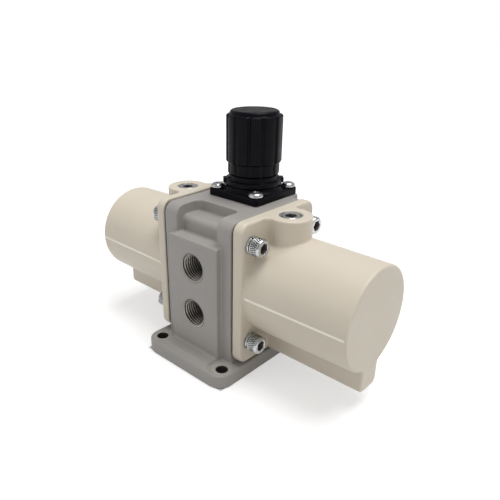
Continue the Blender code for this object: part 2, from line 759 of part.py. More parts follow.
def valve_spool():
    """The spool of the switching valve, with its necks between the lands."""
    profile = [(SPOOL - 0.4, -SPOOL_X), (SPOOL, -SPOOL_X + 0.4)]
    for middle in (-FEED_X, 0.0, FEED_X):
        profile.append((SPOOL, middle - 3.0))
        profile.append((SPOOL_NECK, middle - 2.4))
        profile.append((SPOOL_NECK, middle + 2.4))
        profile.append((SPOOL, middle + 3.0))
    profile += [(SPOOL, SPOOL_X - 0.4), (SPOOL - 0.4, SPOOL_X)]
    spool = turned("valve_spool", "X", (VALVE_Y, VALVE_Z), profile, SMALL_COUNT)
    return finish(spool, STEEL, (0, VALVE_Y, VALVE_Z))


def switch_pin(name, side):
    """The pin that a piston pushes at the end of its stroke to shift the spool."""
    start = SPOOL_X + SEAT
    profile = [
        (SPOOL, start),
        (SPOOL, start + PIN_HEAD_X),
        (PIN, start + PIN_HEAD_X),
        (PIN, PIN_TIP_X - 0.4),
        (PIN - 0.4, PIN_TIP_X),
    ]
    placed = [(radius, side * along) for radius, along in profile]
    return finish(turned(name, "X", (VALVE_Y, VALVE_Z), placed, SMALL_COUNT), STEEL, (0, VALVE_Y, VALVE_Z))


def check_set(word, side, way, check_z):
    """One check valve: its disc on a seat, and the ring that closes its pocket.

    An inlet disc rests inwards and lifts into the cylinder, an outlet disc rests outwards and lifts into the body.
    """
    ring_end = BODY_X - 0.3
    ring_start = ring_end - 2.0
    ring_in = 2.3
    profile = [(ring_in, ring_start), (CHECK_POCKET - 0.25, ring_start), (CHECK_POCKET - 0.25, ring_end)]
    profile.append((ring_in, ring_end))
    placed = [(radius, side * along) for radius, along in profile]
    ring = turned(f"check_ring_{way}_{word}", "X", (CHECK_Y, check_z), placed, SMALL_COUNT, True)
    finish(ring, BRASS)
    if way == "in":
        start = CHECK_DEEP_X + SEAT
        stem_start, stem_end = start + CHECK_DISC, start + CHECK_DISC + 3.0
        profile = [(3.8, start), (3.8, stem_start), (1.6, stem_start), (1.6, stem_end)]
    else:
        end = ring_start - SEAT
        start = end - CHECK_DISC
        profile = [(1.6, start - 3.0), (1.6, start), (3.8, start), (3.8, end)]
    placed = [(radius, side * along) for radius, along in profile]
    disc = turned(f"check_valve_{way}_{word}", "X", (CHECK_Y, check_z), placed, SMALL_COUNT)
    finish(disc, RUBBER, (side * start, CHECK_Y, check_z))


def valve_set():
    """The switching valve, the check valves and the silencer in the exhaust port."""
    valve_sleeve()
    valve_spool()
    for side, word in ((-1, "left"), (1, "right")):
        switch_pin("switch_pin_" + word, side)
        check_set(word, side, "in", CHECK_INLET_Z)
        check_set(word, side, "out", CHECK_OUTLET_Z)
    outer = PANEL_Y - 1.4
    radius = EXHAUST_HOLE - PORT_TAPER - 0.25
    profile = [(radius, outer - 5.0), (radius, outer - 0.8), (radius - 0.8, outer)]
    finish(turned("exhaust_silencer", "Y", (0, VALVE_Z), profile, SMALL_COUNT), BRONZE)


def bonnet():
    """The governor's black housing: plate, notched ring and hollow stem."""
    low = PLATE_Z
    high = PLATE_Z + PLATE_THICK
    bounds = (-PLATE_HALF, PLATE_HALF, KNOB_Y - PLATE_HALF, KNOB_Y + PLATE_HALF)
    plate = bevelled_slab("bonnet", "Z", bounds, PLATE_CORNER, low, high, 0.0, 0.5)
    profile = [
        (BONNET_NECK + 0.8, low + 1),
        (BONNET_NECK + 0.8, high + 0.4),
        (BONNET_NECK, high + 1.2),
        (BONNET_NECK, RING_LOW_Z),
        (RING, RING_LOW_Z + 0.5),
        (RING, RING_TOP_Z - 0.3),
        (RING - 0.3, RING_TOP_Z),
        (BONNET_STEM, RING_TOP_Z),
        (BONNET_STEM, BONNET_TOP_Z - 0.6),
        (BONNET_STEM - 0.6, BONNET_TOP_Z),
    ]
    stem = turned("stem", "Z", (0, KNOB_Y), profile, ROUND_COUNT)
    lugs = []
    for i in range(4):
        angle = math.radians(45 + 90 * i)
        along = Vector((math.cos(angle), math.sin(angle)))
        across = Vector((-along.y, along.x))
        centre = Vector((0, KNOB_Y))
        corners = []
        root = BONNET_NECK - 1.1
        for reach, spread in ((root, -LUG_HALF), (RING_LUG, -LUG_HALF), (RING_LUG, LUG_HALF), (root, LUG_HALF)):
            point = centre + along * reach + across * spread
            corners.append((point.x, point.y))
        lugs.append(prism("lug", "Z", corners, RING_LOW_Z + 0.6, RING_TOP_Z + 0.3))
    combine(plate, "UNION", [stem, *lugs])
    cutters = [drill("Z", (0, KNOB_Y), BONNET_CAVITY, low - 2, CAVITY_TOP_Z, ROUND_COUNT)]
    cutters.append(drill("Z", (0, KNOB_Y), STEM + RUNNING, CAVITY_TOP_Z - 1, BONNET_TOP_Z + 2, SMALL_COUNT))
    for x in (-SCREW_STEP, SCREW_STEP):
        for y in (-SCREW_STEP, SCREW_STEP):
            cutters.append(drill("Z", (x, KNOB_Y + y), SCREW_SHANK + RUNNING, low - 2, high + 2, 16))
            cutters.append(drill("Z", (x, KNOB_Y + y), SCREW_HEAD + 0.35, high, high + 2.6, SMALL_COUNT))
    key = round_rect(-1.8, 1.8, KNOB_Y - BONNET_CAVITY - 1.0, KNOB_Y + BONNET_CAVITY + 1.0, 0.5, 2)
    cutters.append(prism("cutter", "Z", key, low - 2, CAVITY_TOP_Z - 0.2))
    combine(plate, "DIFFERENCE", cutters)
    return finish(plate, BLACK)


def bonnet_screws():
    """The four domed screws of the bonnet."""
    seat = PLATE_Z + PLATE_THICK + SEAT
    number = 0
    for x in (-SCREW_STEP, SCREW_STEP):
        for y in (-SCREW_STEP, SCREW_STEP):
            number += 1
            profile = [
                (SCREW_SHANK, TOP_Z - 7.5),
                (SCREW_SHANK, seat),
                (SCREW_HEAD, seat),
                (SCREW_HEAD, seat + 0.5),
                (SCREW_HEAD * 0.86, seat + SCREW_DOME * 0.6),
                (SCREW_HEAD * 0.5, seat + SCREW_DOME),
            ]
            screw = turned(f"bonnet_screw_{number}", "Z", (x, KNOB_Y + y), profile, SMALL_COUNT)
            finish(screw, ZINC)


def knob_ring(radius, groove, height):
    """One station of the knob: a circle broken by narrow upright grooves."""
    points = []
    for i in range(KNOB_RIBS):
        for share, depth in ((-0.05, groove), (0.05, groove), (0.16, 0.0), (0.39, 0.0), (0.61, 0.0), (0.84, 0.0)):
            angle = math.tau * (i + share) / KNOB_RIBS
            reach = radius - depth
            points.append((reach * math.cos(angle), KNOB_Y + reach * math.sin(angle), height))
    return points


def knob():
    """The ribbed knob, hollow from below, with a hexagon hub on the adjusting screw."""
    stations = [
        (KNOB_SKIRT, 0.45, KNOB_BOTTOM_Z),
        (KNOB_SKIRT, 0.45, GRIP_Z - 0.6),
        (GRIP, 0.8, GRIP_Z + 0.2),
        (GRIP, 0.8, GRIP_TOP_Z - 0.4),
        (KNOB_CAP + 0.3, 0.0, GRIP_TOP_Z + 0.3),
        (KNOB_CAP, 0.0, KNOB_TOP_Z - CAP_EDGE),
        (KNOB_CAP - CAP_EDGE, 0.0, KNOB_TOP_Z),
    ]
    shape = loft("knob", [knob_ring(*station) for station in stations])
    hub_low = BONNET_TOP_Z + 2.9
    room = [
        (KNOB_INNER, KNOB_BOTTOM_Z - 1),
        (KNOB_INNER, HUB_TOP_Z + 4.0),
        (HUB_HEX + 2.6, HUB_TOP_Z + 4.0),
        (HUB_HEX + 2.6, hub_low),
        (1.0, hub_low),
        (1.0, KNOB_BOTTOM_Z - 1),
    ]
    hollow = turned("cutter", "Z", (0, KNOB_Y), room, ROUND_COUNT, True)
    core = drill("Z", (0, KNOB_Y), 2.0, KNOB_BOTTOM_Z - 2, hub_low + 1, SMALL_COUNT)
    socket = hexagon((0, KNOB_Y), HUB_HEX + 0.35)
    hub = prism("cutter", "Z", socket, hub_low - 1, HUB_TOP_Z + 0.3)
    combine(shape, "DIFFERENCE", [hollow, core, hub])
    return finish(shape, BLACK, (0, KNOB_Y, KNOB_BOTTOM_Z), 24.0)


def adjusting_screw():
    """The screw that the knob turns: collar on the bonnet, hexagon above, thread below."""
    collar_low = BONNET_TOP_Z + SEAT
    collar_top = collar_low + 1.6
    profile = [
        (STEM - 0.5, SCREW_LOW_Z),
        (STEM, SCREW_LOW_Z + 0.5),
        (STEM, collar_low),
        (STEM_COLLAR, collar_low),
        (STEM_COLLAR, collar_top),
    ]
    screw = turned("adjusting_screw", "Z", (0, KNOB_Y), profile, SMALL_COUNT)
    head = prism("head", "Z", hexagon((0, KNOB_Y), HUB_HEX), collar_low + 0.8, HUB_TOP_Z - KNOB_LIFT)
    combine(screw, "UNION", [head])
    return finish(screw, STEEL, (0, KNOB_Y, BONNET_TOP_Z))


def spring_nut():
    """The nut that the screw drives up and down, held from turning by two keys."""
    high = NUT_LOW_Z + SPRING_NUT_THICK
    nut = turned("spring_nut", "Z", (0, KNOB_Y), [(BONNET_CAVITY - 0.35, NUT_LOW_Z), (BONNET_CAVITY - 0.35, high)], ROUND_COUNT)
    outline = round_rect(-1.5, 1.5, KNOB_Y - BONNET_CAVITY - 0.65, KNOB_Y + BONNET_CAVITY + 0.65, 0.4, 2)
    combine(nut, "UNION", [prism("key", "Z", outline, NUT_LOW_Z + 0.3, high - 0.3)])
    combine(nut, "DIFFERENCE", [drill("Z", (0, KNOB_Y), STEM + RUNNING, NUT_LOW_Z - 1, high + 1, SMALL_COUNT)])
    return finish(nut, BRASS, (0, KNOB_Y, NUT_LOW_Z))


def coil(name, radius, wire, low, high, turns, look):
    """A coil spring between two heights."""
    steps = int(turns * COIL_STEPS)
    low += wire
    high -= wire
    rings = []
    for i in range(steps + 1):
        share = i / steps
        turn = math.tau * turns * share
        rise = low + (high - low) * min(max((share - 0.1) / 0.8, 0.0), 1.0)
        ring = []
        for j in range(COIL_SIDES):
            angle = math.tau * j / COIL_SIDES
            reach = radius + wire * math.cos(angle)
            z = rise + wire * math.sin(angle)
            ring.append((reach * math.cos(turn), KNOB_Y + reach * math.sin(turn), z))
        rings.append(ring)
    return finish(loft(name, rings), look, (0, KNOB_Y, low - wire), 60.0)


def governor_inside():
    """The governor's springs, piston, seat and valve."""
    disc_top = GOV_DISC_Z + GOV_DISC_THICK
    profile = [
        (1.8, GOV_SEAT_Z + GOV_SEAT_THICK + 1.2),
        (1.8, GOV_DISC_Z),
        (RECESS - RUNNING, GOV_DISC_Z),
        (RECESS - RUNNING, disc_top),
        (4.8, disc_top),
        (4.8, disc_top + 2.0),
    ]
    disc = turned("governor_piston", "Z", (0, KNOB_Y), profile, ROUND_COUNT)
    finish(disc, ALUMINIUM, (0, KNOB_Y, GOV_DISC_Z))
    coil("regulating_spring", SPRING_COIL, SPRING_WIRE, disc_top + SEAT, NUT_LOW_Z - SEAT, SPRING_TURNS, ZINC)
    seat_top = GOV_SEAT_Z + GOV_SEAT_THICK
    outer = GOV_CHAMBER - 0.25
    profile = [(GOV_SEAT_HOLE, GOV_SEAT_Z), (outer, GOV_SEAT_Z), (outer, seat_top), (GOV_SEAT_HOLE, seat_top)]
    finish(turned("governor_seat", "Z", (0, KNOB_Y), profile, SMALL_COUNT, True), BRASS)
    top = GOV_SEAT_Z - SEAT
    low = top - GOV_POPPET_THICK
    profile = [
        (2.2, low - 1.5),
        (2.2, low),
        (GOV_POPPET, low),
        (GOV_POPPET, top),
        (1.5, top),
        (1.5, seat_top + 1.2 - SEAT),
    ]
    finish(turned("governor_valve", "Z", (0, KNOB_Y), profile, SMALL_COUNT), BRASS, (0, KNOB_Y, low))
    coil("governor_valve_spring", 3.6, 0.5, GOV_CHAMBER_Z + SEAT, low - SEAT, 3.5, ZINC)


def build():
    """Builds every piece of the booster."""
    clear_scene()
    center_body()
    cover_sets()
    piston_set()
    valve_set()
    bonnet()
    bonnet_screws()
    knob()
    adjusting_screw()
    spring_nut()
    governor_inside()


build()
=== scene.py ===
"""Air pressure booster, dressed for its portrait.

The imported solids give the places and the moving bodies. The classes below rebuild the pieces that show,
with their fillets, threads and knurls, and dress the inner works that stay. Sizes are in millimetres.
X runs along the cylinders, -Y is the face with the ports, and the foot stands on Z = 0.
"""

import logging
import math
from dataclasses import dataclass, field
from enum import Enum
from functools import cached_property
from typing import Dict, List, Optional, Sequence, Tuple

import bmesh
import bpy
from mathutils import Matrix, Vector


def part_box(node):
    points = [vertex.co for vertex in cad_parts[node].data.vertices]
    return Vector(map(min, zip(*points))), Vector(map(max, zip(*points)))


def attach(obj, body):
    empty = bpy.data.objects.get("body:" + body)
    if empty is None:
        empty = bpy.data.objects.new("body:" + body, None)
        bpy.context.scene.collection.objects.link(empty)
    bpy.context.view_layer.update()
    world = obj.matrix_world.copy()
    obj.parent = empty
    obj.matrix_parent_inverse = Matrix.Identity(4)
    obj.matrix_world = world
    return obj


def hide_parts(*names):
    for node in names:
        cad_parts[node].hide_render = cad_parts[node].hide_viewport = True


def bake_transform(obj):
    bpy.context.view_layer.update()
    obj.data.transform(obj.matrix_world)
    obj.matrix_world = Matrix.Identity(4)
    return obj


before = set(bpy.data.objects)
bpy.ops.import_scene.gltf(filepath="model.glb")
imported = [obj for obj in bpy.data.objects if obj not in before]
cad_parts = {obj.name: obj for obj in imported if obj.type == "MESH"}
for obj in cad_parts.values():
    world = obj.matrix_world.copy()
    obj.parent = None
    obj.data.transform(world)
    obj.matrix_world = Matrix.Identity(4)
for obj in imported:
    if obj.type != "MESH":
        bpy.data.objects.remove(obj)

MM = 0.001
WELD = 1e-6
EDGE_STEPS = 4
LEAST_CORNER = 0.2
SOCKET_REACH = 5.0
Point = Tuple[float, float, float]
Flat = Tuple[float, float]
Colour = Tuple[float, float, float]
LOG = logging.getLogger("booster")


class Axis(Enum):
    """The direction that a shape is stretched or turned along."""

    X = "X"
    Y = "Y"
    Z = "Z"

    def place(self, u: float, v: float, along: float) -> Point:
        """Places a point of an outline in space.

        Args:
            u: First measure across the axis.
            v: Second measure across the axis.
            along: Distance along the axis.

        Returns:
            The point as x, y, z.
        """
        if self is Axis.X:
            return (along, u, v)
        if self is Axis.Y:
            return (u, along, v)
        return (u, v, along)

    def split(self, spot: Vector) -> Point:
        """Splits a place into its measures across the axis and along it.

        Args:
            spot: The place.

        Returns:
            The two measures across, and then the distance along.
        """
        if self is Axis.X:
            return (spot.y, spot.z, spot.x)
        if self is Axis.Y:
            return (spot.x, spot.z, spot.y)
        return (spot.x, spot.y, spot.z)


class Side(Enum):
    """The two ends of the booster."""

    LEFT = -1
    RIGHT = 1

    @property
    def word(self) -> str:
        """The side's word in node names."""
        return self.name.lower()


class Slot(Enum):
    """The record's material slots."""

    GREY = "grey_paint"
    CREAM = "cream_paint"
    RUBBER = "seal_rubber"
    ZINC = "bright_zinc"
    SPRING = "spring_steel"
    STEEL = "steel"
    ALUMINIUM = "aluminium"
    BRASS = "brass"
    BRONZE = "sintered_bronze"
    PLASTIC = "black_plastic"


class Extra(Enum):
    """Finishes beside the slots' own. A piece's marked faces take one of the first three, by its number."""

    SOCKET = 1
    KNURL = 2
    GROOVE = 3
    PORT_WALL = 4
    # Lighter cream for the parting lines: partly worn paint, partly a painted highlight.
    WORN_HIGHLIT_LINE = 5


class Cut(Enum):
    """How shapes are worked into one another."""

    JOIN = "UNION"
    CUT = "DIFFERENCE"
    TRIM = "INTERSECT"


def polar(centre: Sequence[float], radius: float, angle: float) -> Flat:
    """Places a point by its distance and its angle.

    Args:
        centre: Where the distance is measured from.
        radius: The distance.
        angle: The angle in radians.

    Returns:
        The point.
    """
    return (centre[0] + radius * math.cos(angle), centre[1] + radius * math.sin(angle))


def arc(centre: Flat, radius: float, start: float, end: float, steps: int) -> List[Flat]:
    """Lays points on an arc.

    Args:
        centre: Centre of the arc.
        radius: Radius of the arc.
        start: First angle in degrees.
        end: Last angle in degrees.
        steps: Number of chords.

    Returns:
        The points, both ends included.
    """
    angles = [math.radians(start + (end - start) * i / steps) for i in range(steps + 1)]
    return [polar(centre, radius, angle) for angle in angles]


def hexagon(centre: Flat, half: float, start: float, grow: float = 0.0) -> List[Flat]:
    """Draws a hexagon.

    Args:
        centre: Centre of the hexagon.
        half: Half its width across the flats.
        start: Angle of its first corner in degrees.
        grow: How far its corners are drawn out.

    Returns:
        The six corners.
    """
    return arc(centre, half / math.cos(math.radians(30)) + grow, start, start + 300, 5)


def round_rect(
    low_u: float, high_u: float, low_v: float, high_v: float, corner: float, steps: int = 8
) -> List[Flat]:
    """Draws a rectangle with rounded corners.

    Args:
        low_u: Lowest first measure.
        high_u: Highest first measure.
        low_v: Lowest second measure.
        high_v: Highest second measure.
        corner: Radius of the corners.
        steps: Chords in each corner.

    Returns:
        The outline's points.
    """
    points = arc((high_u - corner, low_v + corner), corner, -90, 0, steps)
    points += arc((high_u - corner, high_v - corner), corner, 0, 90, steps)
    points += arc((low_u + corner, high_v - corner), corner, 90, 180, steps)
    points += arc((low_u + corner, low_v + corner), corner, 180, 270, steps)
    return points


def soften(profile: Sequence[Flat], radius: float, steps: int = 3) -> List[Flat]:
    """Rounds the inner corners of a profile.

    Args:
        profile: The corner points, in order.
        radius: Length taken from each side of a corner, where there is room.
        steps: Chords in each rounded corner.

    Returns:
        The profile with its corners rounded.
    """
    most, least = 0.45, 0.02
    made = [profile[0]]
    for before, corner, after in zip(profile, profile[1:], profile[2:]):
        back = Vector(before) - Vector(corner)
        ahead = Vector(after) - Vector(corner)
        reach = min(radius, back.length * most, ahead.length * most)
        if reach < least:
            made.append(corner)
            continue
        start = Vector(corner) + back.normalized() * reach
        end = Vector(corner) + ahead.normalized() * reach
        for i in range(steps + 1):
            t = i / steps
            point = start * (1 - t) ** 2 + Vector(corner) * 2 * t * (1 - t) + end * t**2
            made.append((point.x, point.y))
    made.append(profile[-1])
    return made


def make_piece(name: str, points: Sequence[Point], faces: Sequence[Tuple[int, ...]]) -> bpy.types.Object:
    """Makes a mesh object from points and faces.

    Args:
        name: Name of the object.
        points: Corner points.
        faces: Corner numbers of each face.

    Returns:
        The new object, with its faces turned outwards.
    """
    mesh = bpy.data.meshes.new(name)
    mesh.from_pydata([(x * MM, y * MM, z * MM) for x, y, z in points], [], faces)
    shape = bmesh.new()
    shape.from_mesh(mesh)
    bmesh.ops.remove_doubles(shape, verts=shape.verts, dist=WELD)
    bmesh.ops.recalc_face_normals(shape, faces=shape.faces)
    shape.to_mesh(mesh)
    shape.free()
    obj = bpy.data.objects.new(name, mesh)
    bpy.context.scene.collection.objects.link(obj)
    return obj


def loft(name: str, rings: Sequence[Sequence[Point]], closed: bool = False) -> bpy.types.Object:
    """Skins a row of rings that have equal point counts.

    Args:
        name: Name of the object.
        rings: The rings, in order.
        closed: Whether the last ring meets the first instead of being capped.

    Returns:
        The skinned object.
    """
    count = len(rings[0])
    points = [point for ring in rings for point in ring]
    faces: List[Tuple[int, ...]] = []
    for i in range(len(rings) if closed else len(rings) - 1):
        near = i * count
        far = ((i + 1) % len(rings)) * count
        for j in range(count):
            k = (j + 1) % count
            faces.append((near + j, near + k, far + k, far + j))
    if not closed:
        faces.append(tuple(range(count)))
        faces.append(tuple(range(len(points) - count, len(points))))
    return make_piece(name, points, faces)


def prism(name: str, axis: Axis, outline: Sequence[Flat], start: float, end: float) -> bpy.types.Object:
    """Stretches an outline along an axis.

    Args:
        name: Name of the object.
        axis: Direction of the stretch.
        outline: The outline across the axis.
        start: Where it starts.
        end: Where it ends.

    Returns:
        The solid.
    """
    return loft(name, [[axis.place(u, v, along) for u, v in outline] for along in (start, end)])


def turned(
    name: str, axis: Axis, centre: Flat, profile: Sequence[Flat], sides: int = 64, hollow: bool = False
) -> bpy.types.Object:
    """Turns a profile round an axis.

    Args:
        name: Name of the object.
        axis: Axis of the turning.
        centre: Where the axis stands.
        profile: Steps of radius and distance along the axis.
        sides: Facets round the axis.
        hollow: Whether the profile closes on itself, as a ring's does.

    Returns:
        The turned solid.
    """
    angles = [math.tau * i / sides for i in range(sides)]
    rings = []
    for radius, along in profile:
        rings.append([axis.place(*polar(centre, radius, angle), along) for angle in angles])
    return loft(name, rings, hollow)


def slab(
    name: str,
    axis: Axis,
    bounds: Tuple[float, float, float, float],
    corner: float,
    span: Flat,
    rounds: Flat,
) -> bpy.types.Object:
    """Makes a rounded slab whose two end edges are quarter rounds.

    Args:
        name: Name of the object.
        axis: Direction of its thickness.
        bounds: Lowest and highest measures across the axis.
        corner: Radius of its corners.
        span: Where it starts and ends along the axis.
        rounds: Radius of the edges at its start and end.

    Returns:
        The slab.
    """
    low_u, high_u, low_v, high_v = bounds
    stations = []
    for at, radius, way in ((span[0], rounds[0], 1), (span[1], rounds[1], -1)):
        edge = [(at, 0.0)] if radius == 0 else []
        if radius:
            for i in range(EDGE_STEPS + 1):
                angle = math.radians(90 * i / EDGE_STEPS)
                edge.append((at + way * radius * (1 - math.sin(angle)), radius * (1 - math.cos(angle))))
        stations += edge if way < 0 else edge[::-1]
    rings = []
    for along, inset in stations:
        left = max(corner - inset, LEAST_CORNER)
        outline = round_rect(low_u + inset, high_u - inset, low_v + inset, high_v - inset, left)
        rings.append([axis.place(u, v, along) for u, v in outline])
    return loft(name, rings)


def drill(
    axis: Axis, centre: Flat, radius: float, start: float, end: float, sides: int = 32
) -> bpy.types.Object:
    """Makes a plain round cutter.

    Args:
        axis: Direction of the hole.
        centre: Where the hole stands.
        radius: Radius of the hole.
        start: Where it starts.
        end: Where it ends.
        sides: Facets round it.

    Returns:
        The cutter.
    """
    return turned("cutter", axis, centre, [(radius, start), (radius, end)], sides)


def settle(obj: bpy.types.Object) -> None:
    """Turns an object with its modifiers into a plain mesh.

    Args:
        obj: The object to settle.
    """
    graph = bpy.context.evaluated_depsgraph_get()
    mesh = bpy.data.meshes.new_from_object(obj.evaluated_get(graph))
    old = obj.data
    obj.modifiers.clear()
    obj.data = mesh
    bpy.data.meshes.remove(old)


def work(target: bpy.types.Object, how: Cut, others: Sequence[bpy.types.Object]) -> bpy.types.Object:
    """Joins, cuts or trims a shape by others, which are used up.

    Args:
        target: The shape that is worked.
        how: Whether the others join, cut or trim it.
        others: The other shapes.

    Returns:
        The worked shape.
    """
    group = bpy.data.collections.new("tools")
    bpy.context.scene.collection.children.link(group)
    for other in others:
        bpy.context.scene.collection.objects.unlink(other)
        group.objects.link(other)
    step = target.modifiers.new("work", "BOOLEAN")
    step.operation = how.value
    step.solver = "EXACT"
    step.operand_type = "COLLECTION"
    step.collection = group
    settle(target)
    for other in others:
        bpy.data.objects.remove(other, do_unlink=True)
    bpy.data.collections.remove(group)
    return target


def cast(obj: bpy.types.Object, grain: float, rounds: int, keep: float) -> bpy.types.Object:
    """Gives a sharp solid the run-together fillets of a casting or moulding.

    Args:
        obj: The sharp solid.
        grain: Size of the skin's cells.
        rounds: How often the skin is eased; more gives larger fillets.
        keep: Share of the faces kept once it is smooth.

    Returns:
        The same object with its new skin.
    """
    skin = obj.modifiers.new("skin", "REMESH")
    skin.mode = "VOXEL"
    skin.voxel_size = grain * MM
    ease = obj.modifiers.new("ease", "SMOOTH")
    ease.factor = 0.5
    ease.iterations = rounds
    thin = obj.modifiers.new("thin", "DECIMATE")
    thin.ratio = keep
    settle(obj)
    return obj


def gather(target: bpy.types.Object, others: Sequence[bpy.types.Object]) -> bpy.types.Object:
    """Puts the meshes of other objects into one object.

    Args:
        target: The object that keeps its name.
        others: The objects that go into it.

    Returns:
        The joined object.
    """
    shape = bmesh.new()
    shape.from_mesh(target.data)
    for other in others:
        shape.from_mesh(other.data)
        bpy.data.objects.remove(other, do_unlink=True)
    shape.to_mesh(target.data)
    shape.free()
    return target


def shade(obj: bpy.types.Object, angle: float = 35.0, weighted: bool = True) -> None:
    """Shades an object smooth, with its sharp edges kept.

    Args:
        obj: The object.
        angle: Edges over this angle in degrees stay sharp.
        weighted: Whether large faces keep their own direction.
    """
    obj.data.shade_smooth()
    obj.data.set_sharp_from_angle(angle=math.radians(angle))
    if weighted:
        step = obj.modifiers.new("weigh", "WEIGHTED_NORMAL")
        step.keep_sharp = True
        step.weight = 50
        settle(obj)


def mark_inside(
    piece: bpy.types.Object, axis: Axis, centre: Flat, radius: float, top: float, way: int
) -> None:
    """Marks the walls and the floor of a socket, so that they can take a darker finish, a painted shade
    inside the socket.

    Args:
        piece: The screw or plug.
        axis: Direction of the socket.
        centre: Where the socket stands.
        radius: Radius that holds the whole socket.
        top: Height of the socket's mouth.
        way: Side of the mouth that the socket opens to, one or minus one.
    """
    for face in piece.data.polygons:
        u, v, along = axis.split(face.center / MM)
        within = math.hypot(u - centre[0], v - centre[1]) < radius
        if within and 0.0 < way * (top - along) < SOCKET_REACH:
            face.material_index = Extra.SOCKET.value


def add_node(
    tree: bpy.types.NodeTree, kind: str, values: Dict[str, object], **settings: object
) -> bpy.types.Node:
    """Adds a node to a tree.

    Args:
        tree: The tree.
        kind: Type of the node.
        values: Each input's number or the socket that feeds it.
        **settings: The node's own options.

    Returns:
        The node.
    """
    node = tree.nodes.new(kind)
    for key, value in settings.items():
        setattr(node, key, value)
    for key, value in values.items():
        target = node.inputs[int(key)] if key.isdigit() else node.inputs[key]
        if isinstance(value, bpy.types.NodeSocket):
            tree.links.new(value, target)
        else:
            target.default_value = value
    return node


def work_out(tree: bpy.types.NodeTree, how: str, first: object, second: object = 0.0) -> bpy.types.NodeSocket:
    """Does one step of arithmetic in a tree.

    Args:
        tree: The tree.
        how: Name of the operation.
        first: First number or socket.
        second: Second number or socket.

    Returns:
        The result.
    """
    return add_node(tree, "ShaderNodeMath", {"0": first, "1": second}, operation=how).outputs[0]


class Recipe:
    """A material that is being put together from nodes."""

    def __init__(self, name: str) -> None:
        """Starts a material.

        Args:
            name: Name of the material.
        """
        self.material = bpy.data.materials.new(name)
        self.material.use_nodes = True
        self.tree = self.material.node_tree
        self.shader = self.tree.nodes["Principled BSDF"]
        self.place = self.add("ShaderNodeTexCoord", {}).outputs["Object"]

    def add(self, kind: str, values: Dict[str, object], **settings: object) -> bpy.types.Node:
        """Adds a node to this material."""
        return add_node(self.tree, kind, values, **settings)

    def work_out(self, how: str, first: object, second: object = 0.0) -> bpy.types.NodeSocket:
        """Does one step of arithmetic in this material."""
        return work_out(self.tree, how, first, second)

    def measures(self) -> bpy.types.NodeOutputs:
        """Returns the object's own X, Y and Z."""
        return self.add("ShaderNodeSeparateXYZ", {"Vector": self.place}).outputs

    def stretched(self, scale: Point) -> bpy.types.NodeSocket:
        """Returns the object's own coordinates, scaled apart on each axis."""
        return self.add("ShaderNodeMapping", {"Vector": self.place, "Scale": scale}).outputs["Vector"]

    def noise(
        self, scale: float, detail: float = 2.0, place: Optional[bpy.types.NodeSocket] = None
    ) -> bpy.types.NodeSocket:
        """Adds cloudy noise.

        Args:
            scale: Clouds in a metre.
            detail: Finer layers.
            place: Coordinates, if not the object's own.

        Returns:
            The noise's height.
        """
        values = {"Vector": place or self.place, "Scale": scale, "Detail": detail, "Roughness": 0.55}
        return self.add("ShaderNodeTexNoise", values).outputs["Fac"]

    def between(
        self, factor: bpy.types.NodeSocket, low: float, high: float, start: float = 0.3, end: float = 0.7
    ) -> bpy.types.NodeSocket:
        """Spreads a factor over a range.

        Args:
            factor: The factor, such as noise, which lies near a half.
            low: Value up to the start.
            high: Value from the end on.
            start: Factor at which the value begins to change.
            end: Factor at which it stops.

        Returns:
            The spread value.
        """
        values = {"Value": factor, "From Min": start, "From Max": end, "To Min": low, "To Max": high}
        return self.add("ShaderNodeMapRange", values).outputs["Result"]

    def fade(self, factor: bpy.types.NodeSocket, low: object, high: object) -> bpy.types.NodeSocket:
        """Fades between two colours.

        Args:
            factor: Share of the second colour.
            low: First colour or colour socket.
            high: Second colour or colour socket.

        Returns:
            The colour.
        """
        values = {"0": factor}
        for key, colour in (("6", low), ("7", high)):
            values[key] = colour if isinstance(colour, bpy.types.NodeSocket) else (*colour, 1.0)
        return self.add("ShaderNodeMix", values, data_type="RGBA").outputs[2]

    def clouds(self, scale: float, detail: float, low: Colour, high: Colour) -> bpy.types.NodeSocket:
        """Fades between two colours in soft clouds.

        Args:
            scale: Clouds in a metre.
            detail: Finer layers.
            low: First colour.
            high: Second colour.

        Returns:
            The colour.
        """
        return self.fade(self.between(self.noise(scale, detail), 0.0, 1.0), low, high)

    def gloss(self, scale: float, detail: float, low: float, high: float) -> None:
        """Varies the roughness in soft clouds.

        Args:
            scale: Clouds in a metre.
            detail: Finer layers.
            low: Roughness at the glossy end.
            high: Roughness at the matt end.
        """
        self.feed("Roughness", self.between(self.noise(scale, detail), low, high))

    def relief(self, height: bpy.types.NodeSocket, depth: float, strength: float = 1.0) -> None:
        """Raises and lowers the surface.

        Args:
            height: Height of the surface.
            depth: Depth in millimetres.
            strength: Share of it that shows.
        """
        values = {"Height": height, "Distance": depth * MM, "Strength": strength}
        earlier = self.shader.inputs["Normal"].links
        if earlier:
            values["Normal"] = earlier[0].from_socket
        self.feed("Normal", self.add("ShaderNodeBump", values).outputs["Normal"])

    def feed(self, name: str, value: bpy.types.NodeSocket) -> None:
        """Links a socket to the shader."""
        self.tree.links.new(value, self.shader.inputs[name])

    def set(self, name: str, value: object) -> None:
        """Sets one of the shader's own inputs."""
        self.shader.inputs[name].default_value = value


@dataclass(frozen=True)
class Finish:
    """What every finish has: a name and a main colour."""

    name: str
    colour: Colour

    def tone(self, factor: float) -> Colour:
        """Returns the main colour made lighter or darker."""
        return (self.colour[0] * factor, self.colour[1] * factor, self.colour[2] * factor)

    def lay(self, mix: Recipe) -> None:
        """Lays the finish, which each kind does in its own way.

        Args:
            mix: The material being made.
        """
        raise NotImplementedError(self.name)

    def material(self) -> bpy.types.Material:
        """Builds the material.

        Returns:
            The material.
        """
        mix = Recipe(self.name)
        self.lay(mix)
        return mix.material


